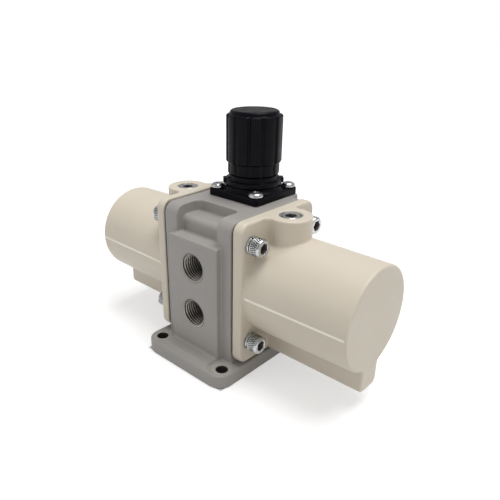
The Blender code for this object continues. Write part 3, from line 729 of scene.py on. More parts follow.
@dataclass(frozen=True)
class HolePattern:
    """The foot's four holes, whose seats are faced after painting."""

    x: float
    y: float
    bore: float
    seat: float
    above: float = 4.0
    blur: float = 0.15


@dataclass(frozen=True)
class SatinPaint(Finish):
    """Sprayed paint on a casting: faint clouds, a fine orange peel and lighter edges, partly worn paint and
    partly a painted highlight.
    """

    roughness: float = 0.42
    cloudy: float = 0.035
    peel: float = 0.035
    holes: Optional[HolePattern] = None
    worn_and_highlit_edge: float = 0.35
    worn_and_highlit_span: Flat = (0.503, 0.545)

    def lay(self, mix: Recipe) -> None:
        """Lays the paint.

        Args:
            mix: The material being made.
        """
        body = mix.clouds(38.0, 3.0, self.tone(1 - self.cloudy), self.tone(1 + self.cloudy))
        speck = mix.noise(1700.0)
        paint = mix.fade(mix.between(speck, 0.0, 0.35), body, mix.fade(speck, self.tone(0.93), self.colour))
        # Edges are lightened by pointiness: partly worn paint, partly a painted highlight along the edges.
        sharp = mix.add("ShaderNodeNewGeometry", {}).outputs["Pointiness"]
        edge = mix.between(sharp, 0.0, self.worn_and_highlit_edge, *self.worn_and_highlit_span)
        paint = mix.fade(edge, paint, mix.fade(edge, self.colour, self.tone(1.18)))
        if self.holes:
            paint = self._face_seats(mix, paint)
        mix.feed("Base Color", paint)
        mix.gloss(55.0, 2.0, self.roughness - 0.04, self.roughness + 0.06)
        mix.set("Specular IOR Level", 0.42)
        mix.relief(mix.noise(900.0), self.peel)
        mix.relief(mix.noise(160.0), self.peel * 2.0, 0.6)

    def _face_seats(self, mix: Recipe, paint: bpy.types.NodeSocket) -> bpy.types.NodeSocket:
        """Leaves the seats round the foot's holes bare, and paints shade, near black, on the walls of the
        holes.

        Args:
            mix: The material being made.
            paint: The paint so far.

        Returns:
            The colour with bare seats.
        """
        above = mix.work_out("GREATER_THAN", mix.measures()["Z"], self.holes.above * MM)
        bare = mix.work_out("MULTIPLY", self._near_holes(mix, self.holes.seat), above)
        paint = mix.fade(bare, paint, mix.fade(mix.noise(900.0), self.tone(1.08), self.tone(1.3)))
        # Near-black colour on the hole walls: painted shade inside the holes.
        painted_shade = mix.fade(mix.noise(600.0), (0.02, 0.02, 0.02), (0.05, 0.048, 0.045))
        return mix.fade(self._near_holes(mix, self.holes.bore), paint, painted_shade)

    def _near_holes(self, mix: Recipe, reach: float) -> bpy.types.NodeSocket:
        """Finds what lies near the axes of the foot's holes.

        Args:
            mix: The material being made.
            reach: Distance from a hole's axis.

        Returns:
            One near a hole, nought elsewhere.
        """
        squares = []
        for name, place in (("X", self.holes.x), ("Y", self.holes.y)):
            away = mix.work_out("SUBTRACT", mix.work_out("ABSOLUTE", mix.measures()[name]), place * MM)
            squares.append(mix.work_out("POWER", away, 2.0))
        away = mix.work_out("SQRT", mix.work_out("ADD", *squares))
        return mix.between(away, 1.0, 0.0, (reach - self.holes.blur) * MM, reach * MM)


@dataclass(frozen=True)
class BareMetal(Finish):
    """Plated, drawn or turned metal: uneven gloss and the fine lines of its making."""

    roughness: float = 0.28
    lines: Axis = Axis.X
    line_depth: float = 0.004
    stain: float = 0.12

    def lay(self, mix: Recipe) -> None:
        """Lays the metal.

        Args:
            mix: The material being made.
        """
        mix.feed("Base Color", mix.clouds(420.0, 3.0, self.tone(1 - self.stain), self.colour))
        mix.gloss(260.0, 3.0, self.roughness - 0.06, self.roughness + 0.09)
        mix.set("Metallic", 1.0)
        scale = self.lines.place(260.0, 260.0, 6500.0)
        mix.relief(mix.noise(1.0, 2.0, mix.stretched(scale)), self.line_depth)


@dataclass(frozen=True)
class Moulding(Finish):
    """Semi-gloss moulded plastic with a fine skin."""

    roughness: float = 0.3

    def lay(self, mix: Recipe) -> None:
        """Lays the plastic.

        Args:
            mix: The material being made.
        """
        mix.feed("Base Color", mix.clouds(120.0, 3.0, self.tone(0.85), self.tone(1.3)))
        mix.gloss(180.0, 3.0, self.roughness - 0.05, self.roughness + 0.1)
        mix.set("Specular IOR Level", 0.09)
        mix.relief(mix.noise(2400.0), 0.008)
        mix.relief(mix.noise(210.0, 1.0), 0.03, 0.5)


@dataclass(frozen=True)
class Rubber(Finish):
    """Matt seal rubber with a dusty skin."""

    roughness: float = 0.7

    def lay(self, mix: Recipe) -> None:
        """Lays the rubber.

        Args:
            mix: The material being made.
        """
        mix.feed("Base Color", mix.clouds(300.0, 4.0, self.tone(0.7), self.tone(1.9)))
        mix.gloss(140.0, 2.0, self.roughness - 0.08, self.roughness + 0.12)
        mix.relief(mix.noise(1500.0, 3.0), 0.02)


@dataclass(frozen=True)
class TappedWall(Finish):
    """Cut thread in a port, bright near the mouth and darker further in: a painted shade inside the port."""

    deep_shade: Colour
    mouth: float
    deep: float
    metallic: float = 1.0

    def lay(self, mix: Recipe) -> None:
        """Lays the thread's metal and the painted shade that deepens inwards.

        Args:
            mix: The material being made.
        """
        # The colour darkens with depth into the port: painted shade, broken up by noise.
        depth = mix.between(mix.measures()["Y"], 0.0, 1.0, self.mouth * MM, self.deep * MM)
        painted_shade = mix.work_out("MULTIPLY", mix.between(mix.noise(500.0, 3.0), 0.8, 1.2), depth)
        mix.feed("Base Color", mix.fade(painted_shade, self.colour, self.deep_shade))
        mix.gloss(300.0, 2.0, 0.35, 0.55)
        mix.set("Metallic", self.metallic)
        mix.relief(mix.noise(1800.0), 0.01)


@dataclass(frozen=True)
class Sintered(Finish):
    """Porous metal pressed from small balls."""

    ball: float = 0.35

    def lay(self, mix: Recipe) -> None:
        """Lays the balls.

        Args:
            mix: The material being made.
        """
        cells = {"Vector": mix.place, "Scale": 1000.0 / self.ball}
        balls = mix.add("ShaderNodeTexVoronoi", cells).outputs["Distance"]
        # Darker between the balls: painted shade in the pores.
        mix.feed("Base Color", mix.fade(mix.between(balls, 0.0, 1.0, 0.1, 0.8), self.colour, self.tone(0.25)))
        mix.gloss(500.0, 2.0, 0.4, 0.6)
        mix.set("Metallic", 1.0)
        mix.relief(mix.work_out("SUBTRACT", 1.0, balls), 0.12)


class PaintShop:
    """Mixes each finish once and puts it on pieces."""

    def __init__(self, plan: "Layout") -> None:
        """Lists the finish of each slot, and the extra ones.

        Args:
            plan: The shared sizes.
        """
        hole_x, hole_y, bore = plan.hole
        holes = HolePattern(hole_x, hole_y, bore + 0.2, bore + plan.hole_seat)
        # Depths over which the port walls darken: painted shade inside the ports.
        depths = [depth - plan.panel_y for depth in plan.port_shade_depths]
        wall = TappedWall("tapped_port_wall", (0.36, 0.335, 0.305), (0.07, 0.065, 0.06), *depths)
        # Near-black thread grooves: painted shade in the thread's hollows.
        groove = TappedWall("shaded_thread_groove", (0.035, 0.032, 0.03), (0.002, 0.002, 0.002), *depths, 0.0)
        self.finishes: Dict[Enum, Finish] = {
            Slot.GREY: SatinPaint("warm_grey_paint", (0.37, 0.352, 0.332), 0.46, 0.04, 0.04, holes),
            Slot.CREAM: SatinPaint("cream_paint", (0.722, 0.65, 0.536), 0.4, 0.02, 0.035),
            Slot.RUBBER: Rubber("seal_rubber", (0.016, 0.016, 0.016)),
            Slot.ZINC: BareMetal("bright_zinc", (0.66, 0.675, 0.69), 0.24, Axis.X, 0.004, 0.3),
            Slot.SPRING: BareMetal("spring_wire", (0.5, 0.51, 0.53), 0.3, Axis.Z),
            Slot.STEEL: BareMetal("ground_steel", (0.6, 0.6, 0.61), 0.24, Axis.X),
            Slot.ALUMINIUM: BareMetal("turned_aluminium", (0.76, 0.76, 0.77), 0.36, Axis.Y, 0.008),
            Slot.BRASS: BareMetal("turned_brass", (0.78, 0.58, 0.27), 0.27, Axis.X, 0.006),
            Slot.BRONZE: Sintered("sintered_bronze", (0.5, 0.33, 0.17)),
            Slot.PLASTIC: Moulding("black_moulding", (0.0028, 0.0025, 0.005), 0.33),
            # Darker socket walls: painted shade inside the sockets.
            Extra.SOCKET: BareMetal("shaded_socket", (0.32, 0.29, 0.28), 0.5, Axis.Z, 0.004, 0.5),
            # Dark knurl hollows: painted shade between the knurl's ridges, with a duller gloss.
            Extra.KNURL: BareMetal("dull_shaded_knurl", (0.1, 0.105, 0.1), 0.45, Axis.Z, 0.004, 0.4),
            Extra.GROOVE: groove,
            Extra.PORT_WALL: wall,
            # Lighter cream on the parting lines: partly worn paint, partly a painted highlight.
            Extra.WORN_HIGHLIT_LINE: SatinPaint("worn_highlit_cream_line", (0.98, 0.93, 0.83), 0.36, 0.01, 0.02),
        }
        self.mixed: Dict[Enum, bpy.types.Material] = {}

    def get(self, key: Enum) -> bpy.types.Material:
        """Returns the material of a slot or of an extra finish.

        Args:
            key: The slot or the extra finish.

        Returns:
            Its material, mixed at the first call.
        """
        if key not in self.mixed:
            self.mixed[key] = self.finishes[key].material()
        return self.mixed[key]

    def dress(
        self,
        piece: bpy.types.Object,
        slot: Slot,
        nodes: Sequence[str] = (),
        finish: Optional[Extra] = None,
        body: str = "housing",
    ) -> None:
        """Paints a new piece and ties it to its body.

        Args:
            piece: The piece.
            slot: Its material slot.
            nodes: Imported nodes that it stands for.
            finish: An extra finish, if not the slot's own.
            body: The moving body that carries it.
        """
        marks = [face.material_index for face in piece.data.polygons]
        piece.data.materials.clear()
        piece.data.materials.append(self.get(finish or slot))
        for extra in list(Extra)[: max(marks)]:
            piece.data.materials.append(self.get(extra))
        for face, mark in zip(piece.data.polygons, marks):
            face.material_index = mark
        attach(piece, body)
        if nodes:
            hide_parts(*nodes)
        LOG.info("%s: %d faces, %s", piece.name, len(piece.data.polygons), slot.value)

    def redress(self, node: str, slot: Slot) -> None:
        """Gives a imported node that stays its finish.

        Args:
            node: Name of the node.
            slot: Its finish.
        """
        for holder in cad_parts[node].material_slots:
            holder.material = self.get(slot)
        LOG.info("%s keeps its solid, %s", node, slot.value)


def middle(node: str) -> Vector:
    """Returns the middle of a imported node's box in millimetres."""
    low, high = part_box(node)
    return (Vector(low) + Vector(high)) / 2 / MM


@dataclass
class Layout:
    """Sizes that several pieces share."""

    half_length: float = 86.5
    body_half: float = 28.3
    body_end: float = 23.45
    cover_start: float = 24.55
    flange_end: float = 30.0
    bore_z: float = 47.8
    top_rise: float = 36.8
    foot: Point = (29.6, 41.8, 7.8)
    hole: Point = (23.2, 34.4, 3.1)
    hole_seat: float = 2.4
    step_rise: float = 1.4
    panel_x: float = 17.2
    panel_y: float = 31.8
    port_rise: float = 8.0
    port_drop: float = 18.1
    # Depths over which the port walls darken: painted shade inside the ports.
    port_shade_depths: Flat = (2.0, 12.0)
    knob_y: float = 14.2
    valve_y: float = 12.5
    valve_drop: float = 12.5
    check_y: float = -12.5
    check_rise: float = 10.0
    check_drop: float = 12.0
    channel_drop: float = 31.8
    channel: float = 2.2
    bolt_y: float = 21.0
    bolt_rise: float = 26.2
    bolt_bore: float = 3.1
    gauge_x: float = 36.2
    plate_gap: float = 0.25
    plate_thick: float = 3.8
    screw_step: float = 13.3
    screw_bore: float = 2.2
    ring_rise: Flat = (6.1, 9.0)
    stem_tall: float = 15.0

    @property
    def top(self) -> float:
        """Height of the flat top of the body."""
        return self.bore_z + self.top_rise

    @property
    def step(self) -> float:
        """Height of the steps on the foot."""
        return self.foot[2] + self.step_rise

    @property
    def valve(self) -> Flat:
        """Place of the switching valve as y and z."""
        return (self.valve_y, self.bore_z - self.valve_drop)

    @property
    def checks(self) -> Flat:
        """Heights of the inlet and the outlet check valves."""
        return (self.bore_z + self.check_rise, self.bore_z - self.check_drop)

    @property
    def ports(self) -> Flat:
        """Heights of the inlet and the outlet port."""
        return (self.bore_z + self.port_rise, self.bore_z - self.port_drop)

    @property
    def channel_z(self) -> float:
        """Height of the air channels under the cylinders."""
        return self.bore_z - self.channel_drop

    @property
    def plate_z(self) -> float:
        """Height of the bonnet's underside."""
        return self.top + self.plate_gap

    @property
    def ring(self) -> Flat:
        """Lowest and highest height of the bonnet's ring."""
        return (self.plate_z + self.ring_rise[0], self.plate_z + self.ring_rise[1])

    @property
    def stem_top(self) -> float:
        """Height of the bonnet's stem."""
        return self.ring[1] + self.stem_tall

    def bolts(self) -> List[Flat]:
        """Returns the four bolt places of a cover as y and z."""
        heights = (self.bore_z + self.bolt_rise, self.bore_z - self.bolt_rise)
        return [(y, z) for z in heights for y in (-self.bolt_y, self.bolt_y)]

    def screws(self) -> List[Flat]:
        """Returns the four screw places of the bonnet as x and y."""
        steps = (-self.screw_step, self.screw_step)
        return [(x, self.knob_y + y) for x in steps for y in steps]


@dataclass
class CenterCasting:
    """The centre body on its foot, with ports, pocket and bores."""

    layout: Layout
    corner: float = 5.5
    edge: float = 0.9
    panel_edge: float = 0.7
    pocket_x: float = 14.2
    pocket_corner: float = 3.6
    pocket_rear: float = -11.8
    pocket_deep: float = 5.8
    pocket_step: float = -23.6
    pocket_fillet: float = 3.0
    panel_drop: float = 13.8
    port: float = 7.9
    port_mouth: float = 8.05
    port_depth: float = 13.5
    thread_start: float = 0.25
    thread_root: float = 7.7
    thread_crest: float = 6.75
    thread_outer: float = 7.85
    thread_pitch: float = 1.5
    passage: float = 3.5
    check_bore: float = 5.05
    check_channel: float = 2.5
    bleed: float = 1.8
    recess: float = 12.0
    chamber: float = 6.0
    chamber_deep: float = 25.8
    rod_bore: float = 5.6
    seal_bore: float = 8.1
    valve_bore: float = 6.35
    riser_x: float = 13.5
    riser: float = 1.5
    exhaust_mouth: float = 5.8
    exhaust_step: float = 5.0
    exhaust_bore: float = 4.6
    exhaust_channel: float = 2.4
    foot_corner: float = 7.5
    foot_edge: float = 1.1
    grain: float = 0.38

    def build(self) -> bpy.types.Object:
        """Builds the casting.

        Returns:
            The finished mesh.
        """
        plan = self.layout
        bounds = (-plan.body_half, plan.body_half, plan.foot[2] - 6, plan.top)
        span = (-plan.body_end, plan.body_end)
        body = slab("center_casting", Axis.X, bounds, self.corner, span, (self.edge, self.edge))
        work(body, Cut.JOIN, [*self._panels(), *self._foot()])
        work(body, Cut.CUT, [self._pocket(), *self._ports(), *self._top_bores(), *self._foot_holes()])
        work(body, Cut.CUT, self._end_bores())
        cast(body, self.grain, rounds=4, keep=0.3)
        shade(body, angle=60.0)
        return body

    def build_thread(self, name: str, height: float) -> bpy.types.Object:
        """Builds the threaded wall of one port.

        Args:
            name: Name of the piece.
            height: Height of the port.

        Returns:
            The wall.
        """
        radii = (self.thread_root, self.thread_crest, self.thread_outer)
        mouth = self.thread_start - self.layout.panel_y
        return ThreadLining(Axis.Y, (0.0, height), mouth, 1, *radii, self.thread_pitch).build(name)

    def _panels(self) -> List[bpy.types.Object]:
        """Makes the raised panels in front and behind."""
        plan, edge = self.layout, self.panel_edge
        front = (-plan.panel_x, plan.panel_x, plan.foot[2] - 2, plan.top - self.panel_drop)
        back = (-plan.panel_x, plan.panel_x, plan.foot[2] - 2, plan.top)
        return [
            slab("panel", Axis.Y, front, 1.0, (-plan.panel_y, -plan.body_half + 5), (edge, 0.0)),
            slab("rear", Axis.Y, back, 1.0, (plan.body_half - 7, plan.panel_y), (0.0, edge)),
        ]

    def _foot(self) -> List[bpy.types.Object]:
        """Makes the foot plate and the steps that lead up to the body."""
        plan = self.layout
        long_x, long_y, tall = plan.foot
        bounds = (-long_x, long_x, -long_y, long_y)
        shapes = [slab("foot", Axis.Z, bounds, self.foot_corner, (0.0, tall), (0.0, self.foot_edge))]
        corners = [
            (plan.body_half - 4, tall - 3),
            (long_y - 1.2, tall - 3),
            (long_y - 1.2, tall - 0.4),
            (long_y - 3.6, plan.step),
            (plan.panel_y + 1.0, plan.step),
            (plan.panel_y + 0.25, plan.step + 0.3),
            (plan.panel_y - 0.15, plan.step + 1.3),
            (plan.body_half - 4, plan.step + 1.3),
        ]
        half = plan.panel_x - 0.6
        for side in (-1, 1):
            shapes.append(prism("step", Axis.X, [(side * y, z) for y, z in corners], -half, half))
        return shapes

    def _pocket(self) -> bpy.types.Object:
        """Makes the cutter of the stepped pocket at the top of the front."""
        plan, fillet = self.layout, self.pocket_fillet
        low, floor = plan.top - self.panel_drop, plan.top - self.pocket_deep
        front, rear, above = -plan.body_half - 20, self.pocket_rear + 3, plan.top + 10
        outline = [(front, low), (self.pocket_step, low)]
        outline += arc((self.pocket_step + fillet, floor - fillet), fillet, 180, 90, 8)
        outline += [(rear, floor), (rear, above), (front, above)]
        cutter = prism("cutter", Axis.X, outline, -self.pocket_x - 3, self.pocket_x + 3)
        plan_view = round_rect(
            -self.pocket_x, self.pocket_x, front - 2, self.pocket_rear, self.pocket_corner, 10
        )
        return work(cutter, Cut.TRIM, [prism("limit", Axis.Z, plan_view, low - 5, plan.top + 20)])

    def _ports(self) -> List[bpy.types.Object]:
        """Makes the cutters of the ports and of the passages behind them."""
        plan = self.layout
        face = -plan.panel_y
        bottom = face + self.port_depth
        mouth = [(self.port_mouth + 1.0, face - 1.0), (self.port_mouth, face)]
        mouth += [(self.port, face + 0.5), (self.port, bottom)]
        cutters = []
        for port_z, rise, check_z in zip(plan.ports, (1, 2), plan.checks):
            cutters.append(turned("cutter", Axis.Y, (0, port_z), mouth, 72))
            cutters.append(drill(Axis.Y, (0, port_z + rise), self.passage, bottom - 1, plan.check_y + 2.0))
            cutters.append(drill(Axis.X, (plan.check_y, check_z), self.check_channel, -15.0, 15.0))
        cutters.append(drill(Axis.Y, (0, plan.ports[0] + 4.5), self.bleed, bottom - 1, plan.knob_y - 4.0))
        back, valve_z = plan.panel_y, plan.valve[1]
        exhaust = [(self.exhaust_mouth + 1.0, back + 1), (self.exhaust_mouth, back)]
        exhaust += [(self.exhaust_step, back - 0.9), (self.exhaust_bore, back - 9)]
        cutters.append(turned("cutter", Axis.Y, (0, valve_z), exhaust, 64))
        cutters.append(drill(Axis.Y, (0, valve_z), self.exhaust_channel, plan.valve[0] + 3, back - 8))
        return cutters

    def _top_bores(self) -> List[bpy.types.Object]:
        """Makes the cutters of the governor's bores and the bonnet's screw holes."""
        plan = self.layout
        axle = (0, plan.knob_y)
        cutters = [drill(Axis.Z, axle, self.recess, plan.top - 6, plan.top + 5, 48)]
        cutters.append(drill(Axis.Z, axle, self.chamber, plan.top - self.chamber_deep, plan.top - 5))
        cutters.append(drill(Axis.Z, (9, plan.valve[0]), self.bleed, plan.valve[1] + 2, plan.top - 5))
        for place in plan.screws():
            cutters.append(drill(Axis.Z, place, plan.screw_bore, plan.top - 9, plan.top + 5))
        return cutters

    def _foot_holes(self) -> List[bpy.types.Object]:
        """Makes the cutters of the foot's holes, each with a shallow spot face."""
        cutters = []
        hole_x, hole_y, radius = self.layout.hole
        seat, tall = radius + self.layout.hole_seat, self.layout.foot[2]
        for x in (-hole_x, hole_x):
            for y in (-hole_y, hole_y):
                cutters.append(drill(Axis.Z, (x, y), radius, -5, tall + 5, 48))
                cutters.append(drill(Axis.Z, (x, y), seat, tall - 0.4, tall + 5, 48))
        return cutters

    def _end_bores(self) -> List[bpy.types.Object]:
        """Makes the cutters of everything bored into the two end faces."""
        plan, end = self.layout, self.layout.body_end
        valve_y, valve_z = plan.valve
        cutters = [drill(Axis.X, (0, plan.bore_z), self.rod_bore, -end, end)]
        cutters.append(drill(Axis.X, plan.valve, self.valve_bore, -end - 1, end + 1))
        for side in (-1, 1):
            face, riser_x = side * (end + 1), side * self.riser_x
            cutters.append(drill(Axis.X, (0, plan.bore_z), self.seal_bore, side * (end - 10), face))
            for place in plan.bolts():
                cutters.append(drill(Axis.X, place, plan.bolt_bore, side * 15, face))
            for check_z in plan.checks:
                cutters.append(drill(Axis.X, (plan.check_y, check_z), self.check_bore, side * 14, face))
            cutters.append(drill(Axis.X, (0, plan.channel_z), plan.channel, side * 12, face))
            cutters.append(drill(Axis.Y, (riser_x, plan.channel_z), self.bleed, -1, valve_y + 2.4))
            cutters.append(drill(Axis.Z, (riser_x, valve_y), self.riser, plan.channel_z, valve_z - 3))
        return cutters


@dataclass
class CylinderCover:
    """One cover: flange, cylinder, channel boss and gauge boss in one casting."""

    layout: Layout
    side: Side
    bore: float = 23.0
    bore_end: float = 82.0
    near: float = 26.6
    far: float = 25.8
    boss_half: float = 7.0
    boss_drop: float = 37.7
    boss_corner: float = 2.6
    boss_fillet: float = 2.2
    end_round: float = 0.9
    rise: float = 0.6
    line_high: float = 0.3
    line_half: float = 0.6
    gauge: float = 10.9
    gauge_bore: float = 5.75
    thread_drop: float = 0.45
    thread_root: float = 5.35
    thread_crest: float = 4.95
    thread_outer: float = 5.7
    thread_pitch: float = 0.9
    web: float = 3.4
    flange_corner: float = 5.4
    flange_edges: Flat = (0.4, 1.3)
    foot_gap: float = 0.4
    overlap: float = 2.0
    head_room: float = 5.6
    riser: float = 1.8
    riser_back: float = 3.5
    grain: float = 0.4

    @property
    def high(self) -> float:
        """Height of the cover's flat top, a little above the body's."""
        return self.layout.top + self.rise

    def build(self) -> bpy.types.Object:
        """Builds the casting.

        Returns:
            The finished mesh.
        """
        plan, sign = self.layout, self.side.value
        span = (plan.cover_start, plan.flange_end) if sign > 0 else (-plan.flange_end, -plan.cover_start)
        rounds = self.flange_edges if sign > 0 else self.flange_edges[::-1]
        bounds = (-plan.body_half, plan.body_half, plan.step + self.foot_gap, self.high)
        flange = slab(f"cylinder_cover_{self.side.word}", Axis.X, bounds, self.flange_corner, span, rounds)
        work(flange, Cut.JOIN, [self._barrel(), self._gauge_boss()])
        work(flange, Cut.CUT, self._bores())
        cast(flange, self.grain, rounds=4, keep=0.3)
        shade(flange, angle=60.0)
        return flange

    def build_lines(self) -> bpy.types.Object:
        """Builds the two raised lines that the mould leaves along the cylinder.

        Returns:
            Both lines in one mesh.
        """
        lines = self._parting_line(-1)
        gather(lines, [self._parting_line(1)])
        lines.name = f"parting_lines_{self.side.word}"
        shade(lines, angle=60.0, weighted=False)
        return lines

    def build_thread(self) -> bpy.types.Object:
        """Builds the threaded wall of the gauge port.

        Returns:
            The wall.
        """
        centre = (self.side.value * self.layout.gauge_x, 0.0)
        radii = (self.thread_root, self.thread_crest, self.thread_outer)
        wall = ThreadLining(Axis.Z, centre, self.high - self.thread_drop, -1, *radii, self.thread_pitch)
        return wall.build(f"gauge_thread_{self.side.word}")

    def _outline(self, radius: float, inset: float) -> List[Flat]:
        """Draws the cylinder across X, a circle with the channel's boss below.

        Args:
            radius: Radius of the circle.
            inset: How far the whole outline is drawn in.

        Returns:
            The outline as y and z.
        """
        half, drop = self.boss_half - inset, self.boss_drop - inset
        corner, fillet = self.boss_corner, self.boss_fillet + inset
        radius -= inset
        side_y = half + fillet
        side_z = -math.sqrt((radius + fillet) ** 2 - side_y**2)
        meet = math.degrees(math.atan2(side_z, side_y))
        points = arc((half - corner, -drop + corner), corner, -90, 0, 6)
        points += arc((side_y, side_z), fillet, 180, 180 + meet, 6)
        points += arc((0.0, 0.0), radius, meet, 180 - meet, 96)[1:-1]
        points += arc((-side_y, side_z), fillet, -meet, 0, 6)
        points += arc((-half + corner, -drop + corner), corner, 180, 270, 6)
        return [(y, z + self.layout.bore_z) for y, z in points]

    def _barrel(self) -> bpy.types.Object:
        """Makes the tapering cylinder with its rounded end."""
        plan, sign, steps = self.layout, self.side.value, 5
        stations = [(plan.flange_end - self.overlap, self.near, 0.0)]
        for i in range(steps + 1):
            angle = math.radians(90 * i / steps)
            along = plan.half_length - self.end_round * (1 - math.sin(angle))
            stations.append((along, self.far, self.end_round * (1 - math.cos(angle))))
        rings = [[(sign * x, y, z) for y, z in self._outline(radius, inset)] for x, radius, inset in stations]
        return loft("barrel", rings)

    def _gauge_boss(self) -> bpy.types.Object:
        """Makes the round boss on top, with hollow webs that run into the flange."""
        plan, sign = self.layout, self.side.value
        start = plan.flange_end - self.overlap
        web_x = plan.flange_end + self.web
        web_y = math.sqrt((self.gauge + self.web) ** 2 - (web_x - plan.gauge_x) ** 2)
        meet = math.degrees(math.atan2(web_y, web_x - plan.gauge_x))
        outline = [(start, -web_y), (plan.flange_end, -web_y)]
        outline += arc((web_x, -web_y), self.web, 180, 180 - meet, 8)[1:]
        outline += arc((plan.gauge_x, 0.0), self.gauge, -meet, meet, 56)[1:-1]
        outline += arc((web_x, web_y), self.web, 180 + meet, 180, 8)
        outline += [(start, web_y)]
        high = self.high
        stations = ((0.0, plan.bore_z + 17.0), (0.0, high - 0.6), (0.02, high - 0.12), (0.045, high))
        rings = []
        for shrink, height in stations:
            keep = 1.0 - shrink
            rings.append([(sign * (start + (x - start) * keep), y * keep, height) for x, y in outline])
        return loft("boss", rings)

    def _parting_line(self, face: int) -> bpy.types.Object:
        """Makes the fine raised line that the mould leaves along one flank.

        Args:
            face: Minus one for the front, one for the back.

        Returns:
            The line as a thin solid.
        """
        plan, sign, half = self.layout, self.side.value, self.line_half
        rings = []
        stations = (
            (plan.flange_end + 0.4, self.near, 0.0),
            (plan.flange_end + 1.6, self.near, self.line_high),
            (plan.half_length - 2.4, self.far, self.line_high),
            (plan.half_length - 1.0, self.far, 0.0),
        )
        for along, radius, high in stations:
            upper = [(radius + high, half * 0.3), (radius + high * 0.8, half * 0.7)]
            upper += [(radius - 0.05, half), (radius - 1.2, half + 0.1)]
            outline = [(y, -z) for y, z in reversed(upper)] + upper
            rings.append([(sign * along, face * y, plan.bore_z + z) for y, z in outline])
        return loft("line", rings)

    def _bores(self) -> List[bpy.types.Object]:
        """Makes the cutters of the cylinder bore, the air channel, the bolt holes and the gauge port."""
        plan, sign, high = self.layout, self.side.value, self.high
        start, flange, end = plan.cover_start - 1, plan.flange_end, self.bore_end
        riser = (sign * (end - self.riser_back), 0)
        gauge = (sign * plan.gauge_x, 0)
        cutters = [drill(Axis.X, (0, plan.bore_z), self.bore, sign * (plan.cover_start - 2), sign * end, 96)]
        cutters.append(drill(Axis.X, (0, plan.channel_z), plan.channel, sign * start, sign * (end - 1)))
        cutters.append(drill(Axis.Z, riser, self.riser, plan.channel_z - 0.5, plan.bore_z - self.bore + 2))
        for place in plan.bolts():
            cutters.append(drill(Axis.X, place, plan.bolt_bore, sign * start, sign * (flange + 3)))
            cutters.append(drill(Axis.X, place, self.head_room, sign * flange, sign * (flange + 9), 48))
        mouth = [(6.9, high + 1), (6.1, high), (self.gauge_bore, high - 0.4), (self.gauge_bore, high - 9.5)]
        cutters.append(turned("cutter", Axis.Z, gauge, mouth, 64))
        cutters.append(drill(Axis.Z, gauge, 1.5, plan.bore_z + self.bore - 3, high - 9))
        return cutters


@dataclass
class ThreadLining:
    """The threaded wall of a port, cut as one helix."""

    axis: Axis
    centre: Flat
    mouth: float
    inward: int
    root: float
    crest: float
    outer: float
    pitch: float
    turns: float = 8.0
    lead_in: float = 0.5
    steep: float = 1.3
    root_flat: float = 0.2
    # Grooves past this share of the depth and this distance from the mouth take the painted shade.
    shaded_share: float = 0.45
    shaded_start: float = 0.3
    steps: int = 10
    sides: int = 72

    def build(self, name: str) -> bpy.types.Object:
        """Builds the lining as a closed tube.

        Args:
            name: Name of the piece.

        Returns:
            The lining.
        """
        count = int(self.turns * self.steps)
        inner = []
        for i in range(count + 1):
            depth = self.pitch * i / self.steps
            ring = []
            for j in range(self.sides):
                phase = (i / self.steps - j / self.sides) % 1.0
                rise = 1.0 - abs(2 * phase - 1.0)
                rise = min(max(rise * self.steep - self.root_flat, 0.0), 1.0)
                rise *= min(depth / self.lead_in, 1.0)
                ring.append(self._point(self.root - (self.root - self.crest) * rise, j, depth))
            inner.append(ring)
        last = self.pitch * count / self.steps
        outer = []
        for depth in (last, last / 2, 0.0):
            outer.append([self._point(self.outer, j, depth) for j in range(self.sides)])
        lining = loft(name, inner + outer, closed=True)
        self._mark_grooves(lining)
        shade(lining, angle=50.0, weighted=False)
        return lining

    def _mark_grooves(self, lining: bpy.types.Object) -> None:
        """Marks the thread's grooves, which take a dark painted shade.

        Args:
            lining: The threaded wall.
        """
        limit = self.crest + (self.root - self.crest) * self.shaded_share
        start = self.lead_in + self.shaded_start
        for face in lining.data.polygons:
            u, v, along = self.axis.split(face.center / MM)
            reach = math.hypot(u - self.centre[0], v - self.centre[1])
            if reach > limit and (along - self.mouth) * self.inward > start:
                face.material_index = Extra.GROOVE.value

    def _point(self, radius: float, step: int, depth: float) -> Point:
        """Places one point of the wall.

        Args:
            radius: Distance from the port's axis.
            step: Which facet.
            depth: Distance from the mouth.

        Returns:
            The point.
        """
        u, v = polar(self.centre, radius, math.tau * step / self.sides)
        return self.axis.place(u, v, self.mouth + self.inward * depth)


